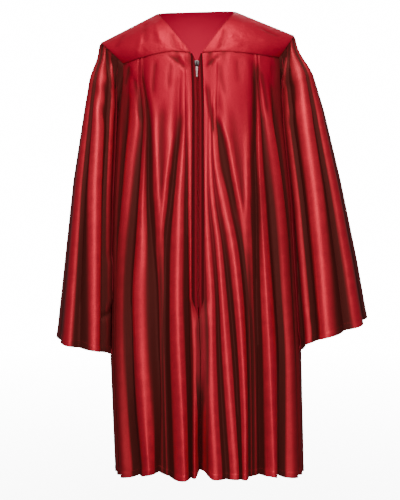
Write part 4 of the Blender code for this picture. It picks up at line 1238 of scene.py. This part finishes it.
def sleeve_grid(side):
    """Grid of a sleeve, round from its outer side by the front: an armhole that eases into ovals."""
    table = SLEEVE_FOLDS[side]
    closed = np.concatenate((table, table[:1] + np.array((360, 360, 360, 0, 0))))
    columns = np.linspace(0, len(table), len(table) * SLEEVE_STEPS + 1)[:-1]
    turns = closed[:, [0, 2, 1]]
    lifts = closed[:, [3, 4, 4]]
    turns, lifts = between_knots(turns, lifts, np.zeros_like(turns), columns)
    cap_turn, cuff_turn, upper_turn = turns.T
    cap_lift, cuff_lift = lifts.T[:2]
    ring = armhole_point(side, cap_turn)
    down = row_shares(SLEEVE_ROWS, SLEEVE_LENGTH)[:, None]
    turn = np.radians(upper_turn + (cuff_turn - upper_turn) * down)
    outer_cuff, inner_cuff = CUFF_HEIGHT[side]
    inward = (1 - np.cos(np.radians(cuff_turn))) / 2
    cuff = outer_cuff + (inner_cuff - outer_cuff) * inward**CUFF_BOW
    cuff = cuff - CUFF_TROUGH_RISE * np.minimum(cuff_lift, 0)
    start = ring[:, 2]
    height = start + (cuff - start) * down
    outer = at_height(SLEEVE_SECTIONS[side], 1, height)
    half_depth = at_height(SLEEVE_SECTIONS[side], 2, height)
    body_side = side * body_point(side * 0.5 * np.ones_like(height), height)[0]
    side_lift = np.interp(-height, -LIFT_HEIGHTS, SIDE_FOLDS[-1, 2:6])
    inner = body_side + side_lift + SLEEVE_CLEARANCE
    below = start - height
    gathered = ease(below / FOLDS_OPEN_OVER + CAP_FOLDS_AT_SEAM)
    lift = (cap_lift + (cuff_lift - cap_lift) * down) * gathered
    lift = lift + hem_step(height, cuff)
    round_cap = np.radians(cap_turn)
    pinch = np.sin(GATHERS * round_cap + 2 * np.sin(3 * round_cap))
    pinch = pinch * (0.6 + 0.4 * np.sin(5 * round_cap + side)) * ease(below / GATHER_TOP)
    reach = GATHER_REACH * (1.3 + np.sin(7 * round_cap))
    lift = lift + GATHER_HEIGHT * pinch * np.exp(-below / reach)
    oval_x = (outer + inner) / 2 + (outer - inner) / 2 * np.cos(turn)
    oval_y = -half_depth * np.sin(turn)
    creases = sum(bent_crease(side * oval_x, height, row) for row in SLEEVE_CREASES[side])
    lift = lift + creases * ease(np.sin(turn) / CREASES_FADE_SIDE)
    out_x = np.cos(turn) * half_depth
    out_y = -np.sin(turn) * (outer - inner) / 2
    size = np.hypot(out_x, out_y)
    settle = ease(below / CAP_DEPTH)
    tuck = np.exp(-below / TUCK_REACH)
    ring_x = side * ring[:, 0] - SLEEVE_TUCK * tuck
    ring_y = ring[:, 1] * (1 - TUCK_IN_DEPTH * tuck)
    x = ring_x * (1 - settle) + oval_x * settle + out_x / size * lift
    y = ring_y * (1 - settle) + oval_y * settle + out_y / size * lift
    height = height - SLEEVE_TOP_DROP * tuck * np.maximum(np.cos(round_cap), 0)
    turned = np.degrees(turn) % 360
    lap = ease((turned - LAP_FROM) / LAP_EASE) * ease((LAP_TO - turned) / LAP_EASE)
    x = x - SLEEVE_LAP[side] * lap * settle
    room = side_lift + LAP_ROOM
    across = (x - side * at_height(BODY_SECTIONS, 1, height)) / (at_height(BODY_SECTIONS, 2, height) + room)
    front = (1 - np.clip(across, 0, 1) ** BODY_POWER) ** (1 / BODY_POWER)
    front = -(at_height(BODY_SECTIONS, 3, height) + room) * front
    clear = np.where(across < 1, np.minimum(y, front), y)
    y = y + (clear - y) * ease(4 * lap) * settle
    # Painted shade on the inner side behind the lap, and fainter painted highlights at the cap
    shaded_under_lap = ease((turned - LAP_DARK_FROM) / LAP_DARK_EASE) * ease((LAP_DARK_TO - turned) / LAP_DARK_EASE)
    crests = crest_share(x, y, lift, wrap=True) * (1 - LAP_DARK * shaded_under_lap)[..., None]
    crests = crests**SLEEVE_CREST_NARROWING
    faint = CAP_LINES_FAINT + (1 - CAP_LINES_FAINT) * ease(below / CAP_LINES_IN)
    crests[..., 1] = crests[..., 1] * faint
    return np.stack((side * x, y, height), axis=2), crests


# The sleeves' satin is painted darker all over, most at the cap, as shade
SLEEVE_SATIN = satin("sleeve_satin", PUCKER_DEPTH, 0.78, 0.6)
sleeves = {}
for side, name in ((RIGHT, "sleeve_right"), (LEFT, "sleeve_left")):
    grid, crests = sleeve_grid(side)
    if side == LEFT:
        grid = grid[:, ::-1]
        crests = crests[:, ::-1]
    piece = cloth(f"{name}_satin", grid, SLEEVE_SATIN, SHADED_REVERSE, wrap=True, folds=crests)
    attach(piece, "gown")
    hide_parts(name)
    sleeves[side] = grid


# Zip tapes
# Two woven tapes, sewn behind the fronts' folded edges. The coils are sewn on along their inner
# edges, and they slant back a little under the fronts.
ZIP_TOP = -66
ZIP_BOTTOM = -520
TAPE_END = -544
ZIP_DEPTH = 1.9
SLIDER_HEIGHT = -84
TAPE_ROWS = 150
TAPE_NEAR = 0.9
TAPE_PARTED = 7
TAPE_FLAT = 5.6
TAPE_SLANT = 0.2
TAPE_UNDER = 1.5
TAPE_LEAST_FAR = 6
TAPE_COLUMNS = 13
# The tapes part over this run above the slider, from this far above its middle
TAPE_PARTS_FROM = 3
TAPE_PARTS_RUN = 15
TAPE_RIPPLE = 0.15
# The tape has painted shade where it goes behind the fronts, from this far out over this width
TAPE_SHADE = 0.75
TAPE_DARK_FROM = 5
TAPE_DARK_RUN = 1.8
# A darker red, for the weave and for painted shade, and the tape's own red
TAPE_DARK_WEAVE_AND_SHADE = (0.02, 0.002, 0.002, 1)
TAPE_LIGHT = (0.34, 0.008, 0.02, 1)
TAPE_RIBS = 420.0
TAPE_WEFT = 260.0


def zip_surface(offset, height, behind=0):
    """A point of the zip's plane, behind the fronts, at an offset from its line."""
    x = at_height(ZIP_LINE, 1, height) + offset
    y = -at_height(BODY_SECTIONS, 3, height) + ZIP_DEPTH + behind
    return np.stack(np.broadcast_arrays(x, y, height), axis=-1)


def woven_tape():
    """Matt red tape: fine ribs along it and across it, with painted shade where it goes under the fronts."""
    look = material("woven_tape")
    lengths = look.node("ShaderNodeUVMap", {"uv_map": "lengths"})
    lit = look.part(look.folds(), 0)
    ribs, rows = (
        look.node("ShaderNodeTexWave", {"bands_direction": way}, {"Vector": lengths, "Scale": scale})
        for way, scale in (("X", TAPE_RIBS), ("Y", TAPE_WEFT))
    )
    weave = ribs * rows
    # Painted shade by the lit share, with the weave
    colour = look.mix(lit * (0.7 + 0.3 * weave), TAPE_DARK_WEAVE_AND_SHADE, TAPE_LIGHT)
    relief = look.bump(weave, REVERSE_DEPTH * MM)
    return look.finish(Base_Color=colour, Roughness=0.7, Specular_IOR_Level=0.08, Normal=relief)


TAPE_LOOK = woven_tape()
for side, name in ((RIGHT, "zip_tape_right"), (LEFT, "zip_tape_left")):
    height = np.linspace(ZIP_TOP, TAPE_END, TAPE_ROWS + 1)[:, None]
    far = np.maximum(at_height(FRONT_EDGE, 1, height) + TAPE_UNDER, TAPE_LEAST_FAR)
    parted = np.clip((height - SLIDER_HEIGHT - TAPE_PARTS_FROM) / TAPE_PARTS_RUN, 0, 1)
    near = TAPE_NEAR + TAPE_PARTED * parted
    offset = near + (far - near) * np.linspace(0, 1, TAPE_COLUMNS)[None, :]
    ripple = TAPE_RIPPLE * np.sin(height / 7 + offset / 3)
    behind = TAPE_SLANT * np.maximum(offset - TAPE_FLAT, 0) + ripple
    lit = 1 - TAPE_SHADE * ease((offset - TAPE_DARK_FROM) / TAPE_DARK_RUN)
    grid, lit = to_left(side, zip_surface(side * offset, height, behind), np.stack((lit, 0 * lit), axis=2))
    piece = cloth(f"{name}_woven", grid, TAPE_LOOK, TAPE_LOOK, folds=lit)
    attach(piece, "gown")
    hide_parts(name)


# Zip chain
# Two nylon coils, each a long helix of thread that hooks into the other's turns.
COIL_PITCH = 1.4
COIL_RADIUS = 1.15
COIL_OFFSET = 1.1
COIL_FLATNESS = 0.7
THREAD_RADIUS = 0.34
COIL_TOP = -82
COIL_STEPS = 10
TUBE_SHARP = np.radians(50)


def sweep(path, half_width, half_depth, sides, aside=(1, 0, 0)):
    """Grid of an oval tube along a path: its points follow a circle square to the path."""
    along = np.gradient(path, axis=0)
    along = along / np.linalg.norm(along, axis=1, keepdims=True)
    depth_way = np.cross(along, np.broadcast_to(aside, along.shape))
    depth_way = depth_way / np.linalg.norm(depth_way, axis=1, keepdims=True)
    width_way = np.cross(depth_way, along)
    turn = np.linspace(0, 2 * np.pi, sides, endpoint=False)
    wide = np.broadcast_to(half_width, len(path))[:, None, None] * np.cos(turn)[None, :, None]
    deep = np.broadcast_to(half_depth, len(path))[:, None, None] * np.sin(turn)[None, :, None]
    return path[:, None] + width_way[:, None] * wide + depth_way[:, None] * deep


def tube_mesh(name, grids, look):
    """One object of closed tubes: each grid is rows of rings, whose ends are capped."""
    points, faces, start = [], [], 0
    for grid in grids:
        rows, sides = grid.shape[:2]
        index = start + np.arange(rows * sides).reshape(rows, sides)
        ahead = np.roll(index, -1, axis=1)
        quads = np.stack((index[:-1], ahead[:-1], ahead[1:], index[1:]), axis=2).reshape(-1, 4)
        faces += quads.tolist() + [index[0, ::-1].tolist(), index[-1].tolist()]
        points.append(grid.reshape(-1, 3))
        start += rows * sides
    made = mesh_object(name, np.concatenate(points), faces, [look])
    made.data.validate()
    made.data.shade_smooth()
    made.data.set_sharp_from_angle(angle=TUBE_SHARP)
    return made


NYLON_RED = (0.27, 0.009, 0.016, 1)
NYLON = material("red_nylon").finish(Base_Color=NYLON_RED, Roughness=0.4, Specular_IOR_Level=0.15)
coils = []
for side in (RIGHT, LEFT):
    turns = (COIL_TOP - ZIP_BOTTOM) / COIL_PITCH
    steps = np.linspace(0, turns, int(turns * COIL_STEPS) + 1)
    angle = 2 * np.pi * steps + (0 if side == LEFT else np.pi)
    offset = side * (COIL_OFFSET + COIL_RADIUS * np.cos(angle))
    path = zip_surface(offset, COIL_TOP - steps * COIL_PITCH)
    path[:, 1] += COIL_FLATNESS * COIL_RADIUS * np.sin(angle) - COIL_RADIUS
    coils.append(sweep(path, THREAD_RADIUS, THREAD_RADIUS, 4, aside=(0, 0, 1)))
chain = tube_mesh("zip_chain_coils", coils, NYLON)
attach(chain, "gown")
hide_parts("zip_chain")


# Zip slider
# Two cast plates joined by a wedge at the top, with a bridge over the front one that holds the
# pull's loop, and a round lug.
SLIDER_LENGTH = 11
SLIDER_WIDTH = 8.6
SLIDER_TAPER = 0.24
PLATE = 1.1
PLATE_SQUARENESS = 3.4
# Each plate's middle, from the chain's
FRONT_PLATE = -1.85
BACK_PLATE = 1.15
WEDGE_SIZE = (3, 3.2, 3)
WEDGE_RISE = 3.8
BRIDGE_STAND = 3.4
BRIDGE_RISE = 3.2
BRIDGE_SQUARENESS = 0.6
BRIDGE_ROD = 0.8, 0.5
BRIDGE_STEPS = 25
LUG_RADIUS = 1.9
# The lug's middle, from the bridge's foremost point and the slider's middle height
LUG_OFFSET = (-0.3, 0.6, -3.1)
STEEL_WEAR = 900.0


def pebble(centre, size, power, rings=14, sides=28, taper=0):
    """Grid of a rounded block: rings of a superellipse that shrink towards its two ends."""
    lean = np.linspace(-np.pi / 2, np.pi / 2, rings + 2)[1:-1, None]
    turn = np.linspace(0, 2 * np.pi, sides, endpoint=False)[None, :]
    rise = powered(np.sin(lean), 2 / power) + 0 * turn
    shrink = np.cos(lean) ** (2 / power)
    x = powered(np.cos(turn), 2 / power) * shrink * (1 + taper * rise)
    y = powered(np.sin(turn), 2 / power) * shrink
    return np.array(centre) + np.stack((x, y, rise), axis=2) * np.array(size) / 2


steel = material("dark_steel_polished")
steel_wear = steel.noise(steel.place(), STEEL_WEAR, 3.0)
STEEL = steel.finish(
    Base_Color=steel.mix(steel_wear, (0.05, 0.045, 0.045, 1), (0.12, 0.1, 0.1, 1)),
    Roughness=0.2 + 0.2 * steel_wear,
    Metallic=1.0,
    Normal=steel.bump(steel_wear, 0.02 * MM),
)
slider_x, zip_y = zip_surface(0, SLIDER_HEIGHT)[:2]
front_y = zip_y + FRONT_PLATE
back_y = zip_y + BACK_PLATE
plate_size = (SLIDER_WIDTH, PLATE, SLIDER_LENGTH)
blocks = []
for plate_y in (front_y, back_y):
    plate_place = (slider_x, plate_y, SLIDER_HEIGHT)
    blocks.append(pebble(plate_place, plate_size, PLATE_SQUARENESS, taper=SLIDER_TAPER))
blocks.append(pebble((slider_x, (front_y + back_y) / 2, SLIDER_HEIGHT + WEDGE_RISE), WEDGE_SIZE, 3))
arch = np.linspace(0, np.pi, BRIDGE_STEPS)
bridge = np.stack((
    np.full(BRIDGE_STEPS, slider_x),
    front_y - (BRIDGE_STAND - 0.1) * np.sin(arch) ** BRIDGE_SQUARENESS,
    SLIDER_HEIGHT + BRIDGE_RISE * np.cos(arch),
), axis=1)
blocks.append(sweep(bridge, *BRIDGE_ROD, 12))
lug = np.array((slider_x, front_y - BRIDGE_STAND, SLIDER_HEIGHT)) + LUG_OFFSET
blocks.append(pebble(lug, [2 * LUG_RADIUS] * 3, 2))
slider = tube_mesh("zip_slider_steel", blocks, STEEL)
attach(slider, "gown")
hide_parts("zip_slider")


# Zip pull
# A cast tab that hangs from the slider's bridge by its loop: it narrows downwards, has a groove
# near its end and ends in a small knob.
PULL_AXIS = (-1.083, -85.619, -84)
LOOP_HALF_WIDTH = 2.0
LOOP_LENGTH = 6.4
LOOP_ROD = 0.55
LOOP_STEPS = 33
LOOP_SQUARENESS = 0.7
TAB_SQUARENESS = 0.5
TAB_ROWS = 70
TAB_SIDES = 24
# How far down the tab: half width and half thickness
TAB_PROFILE = np.array((
    (5.4, 1.2, 0.35),
    (6.0, 2.5, 0.45),
    (7.2, 2.6, 0.5),
    (12.0, 2.3, 0.5),
    (17.5, 1.8, 0.45),
    (19.6, 1.7, 0.45),
    (20.0, 1.1, 0.3),
    (20.9, 1.1, 0.3),
    (21.2, 1.7, 0.5),
    (22.6, 1.9, 0.55),
    (23.9, 1.3, 0.45),
    (24.4, 0.5, 0.25),
), float)
loop_turn = np.linspace(0, 2 * np.pi, LOOP_STEPS)
loop_across = powered(np.cos(loop_turn), LOOP_SQUARENESS) * LOOP_HALF_WIDTH
loop_down = LOOP_ROD - LOOP_LENGTH / 2 + (LOOP_LENGTH / 2 - LOOP_ROD) * np.sin(loop_turn)
loop = np.stack((loop_across, np.zeros(LOOP_STEPS), loop_down), axis=1) + np.array(PULL_AXIS)
down = np.linspace(TAB_PROFILE[0, 0], TAB_PROFILE[-1, 0], TAB_ROWS)[:, None]
half_width = np.interp(down, TAB_PROFILE[:, 0], TAB_PROFILE[:, 1])
half_depth = np.interp(down, TAB_PROFILE[:, 0], TAB_PROFILE[:, 2])
tab_turn = np.linspace(0, 2 * np.pi, TAB_SIDES, endpoint=False)
flat_x = half_width * powered(np.cos(tab_turn), TAB_SQUARENESS)
flat_y = half_depth * powered(np.sin(tab_turn), TAB_SQUARENESS)
tab = np.stack((flat_x, flat_y, LOOP_ROD - down + 0 * flat_x), axis=2)
tab = (tab + np.array(PULL_AXIS))[::-1]
PALE_STEEL = (0.3, 0.2, 0.2, 1)
PULL_STEEL = material("pale_steel_polished").finish(Base_Color=PALE_STEEL, Roughness=0.3, Metallic=1.0)
pull = tube_mesh("zip_pull_steel", [sweep(loop, LOOP_ROD, LOOP_ROD, 10, aside=(0, 1, 0)), tab], PULL_STEEL)
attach(pull, "pull_tab")
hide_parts("zip_pull")


# Stitching
# Rows of red thread stitches: round the hem and both cuffs, and along the fronts' inner edges.
# Each stitch is a small spindle that stands a little off the cloth.
STITCH_LENGTH = 2.2
STITCH_PITCH = 3.0
STITCH_HALF_WIDTH = 0.22
STITCH_STAND = 0.12
# The stitched edge beside the zip: which rows of a front's grid, and which column
EDGE_ROWS = slice(4, -8)
EDGE_COLUMN = {RIGHT: -2, LEFT: 1}


def stitches(name, lines):
    """Small spindles along lines on the cloth: each has two tips and a square middle."""
    middles, alongs, outs = [], [], []
    for line, out in lines:
        run = np.concatenate(([0], np.cumsum(np.linalg.norm(np.diff(line, axis=0), axis=1))))
        places = np.arange(STITCH_PITCH / 2, run[-1], STITCH_PITCH)
        at = [np.stack([np.interp(places + shift, run, line[:, axis]) for axis in range(3)], axis=1)
              for shift in (-STITCH_LENGTH / 2, STITCH_LENGTH / 2)]
        facing = np.stack([np.interp(places, run, out[:, axis]) for axis in range(3)], axis=1)
        middles.append((at[0] + at[1]) / 2)
        alongs.append((at[1] - at[0]) / 2)
        outs.append(facing / np.linalg.norm(facing, axis=1, keepdims=True))
    middle = np.concatenate(middles)
    along = np.concatenate(alongs)
    out = np.concatenate(outs)
    aside = np.cross(along, out)
    aside = aside / np.linalg.norm(aside, axis=1, keepdims=True)
    middle = middle + out * STITCH_STAND
    ring = [aside, out, -aside, -out]
    corners = [middle - along] + [middle + way * STITCH_HALF_WIDTH for way in ring] + [middle + along]
    corners = np.stack(corners, axis=1)
    sides = ((1, 2), (2, 3), (3, 4), (4, 1))
    ends = [(0, b, a) for a, b in sides] + [(5, a, b) for a, b in sides]
    faces = (6 * np.arange(len(middle))[:, None, None] + np.array(ends)).reshape(-1, 3)
    made = mesh_object(name, corners.reshape(-1, 3), faces.tolist(), [THREAD])
    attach(made, "gown")


def line_above_hem(grid, rise, wrap=False):
    """A line round a panel at a height above its lower edge, with the way out of the cloth."""
    out = square_out(grid, wrap)
    above = grid[:, :, 2] - grid[-1:, :, 2]
    row = np.argmin(np.abs(above - rise), axis=0)
    column = np.arange(grid.shape[1])
    return grid[row, column], out[row, column]


THREAD_RED = (0.4, 0.006, 0.02, 1)
THREAD = material("red_thread").finish(Base_Color=THREAD_RED, Roughness=0.5, Specular_IOR_Level=0.15)
for side, name in ((RIGHT, "front_right"), (LEFT, "front_left")):
    grid = fronts[side]
    out = square_out(grid)
    edge = EDGE_ROWS, EDGE_COLUMN[side]
    stitches(f"{name}_stitching", [line_above_hem(grid, HEM_DEPTH), (grid[edge], out[edge])])
stitches("back_stitching", [line_above_hem(back_grid, HEM_DEPTH)])
for side, name in ((RIGHT, "sleeve_right"), (LEFT, "sleeve_left")):
    stitches(f"{name}_stitching", [line_above_hem(sleeves[side], HEM_DEPTH, wrap=True)])
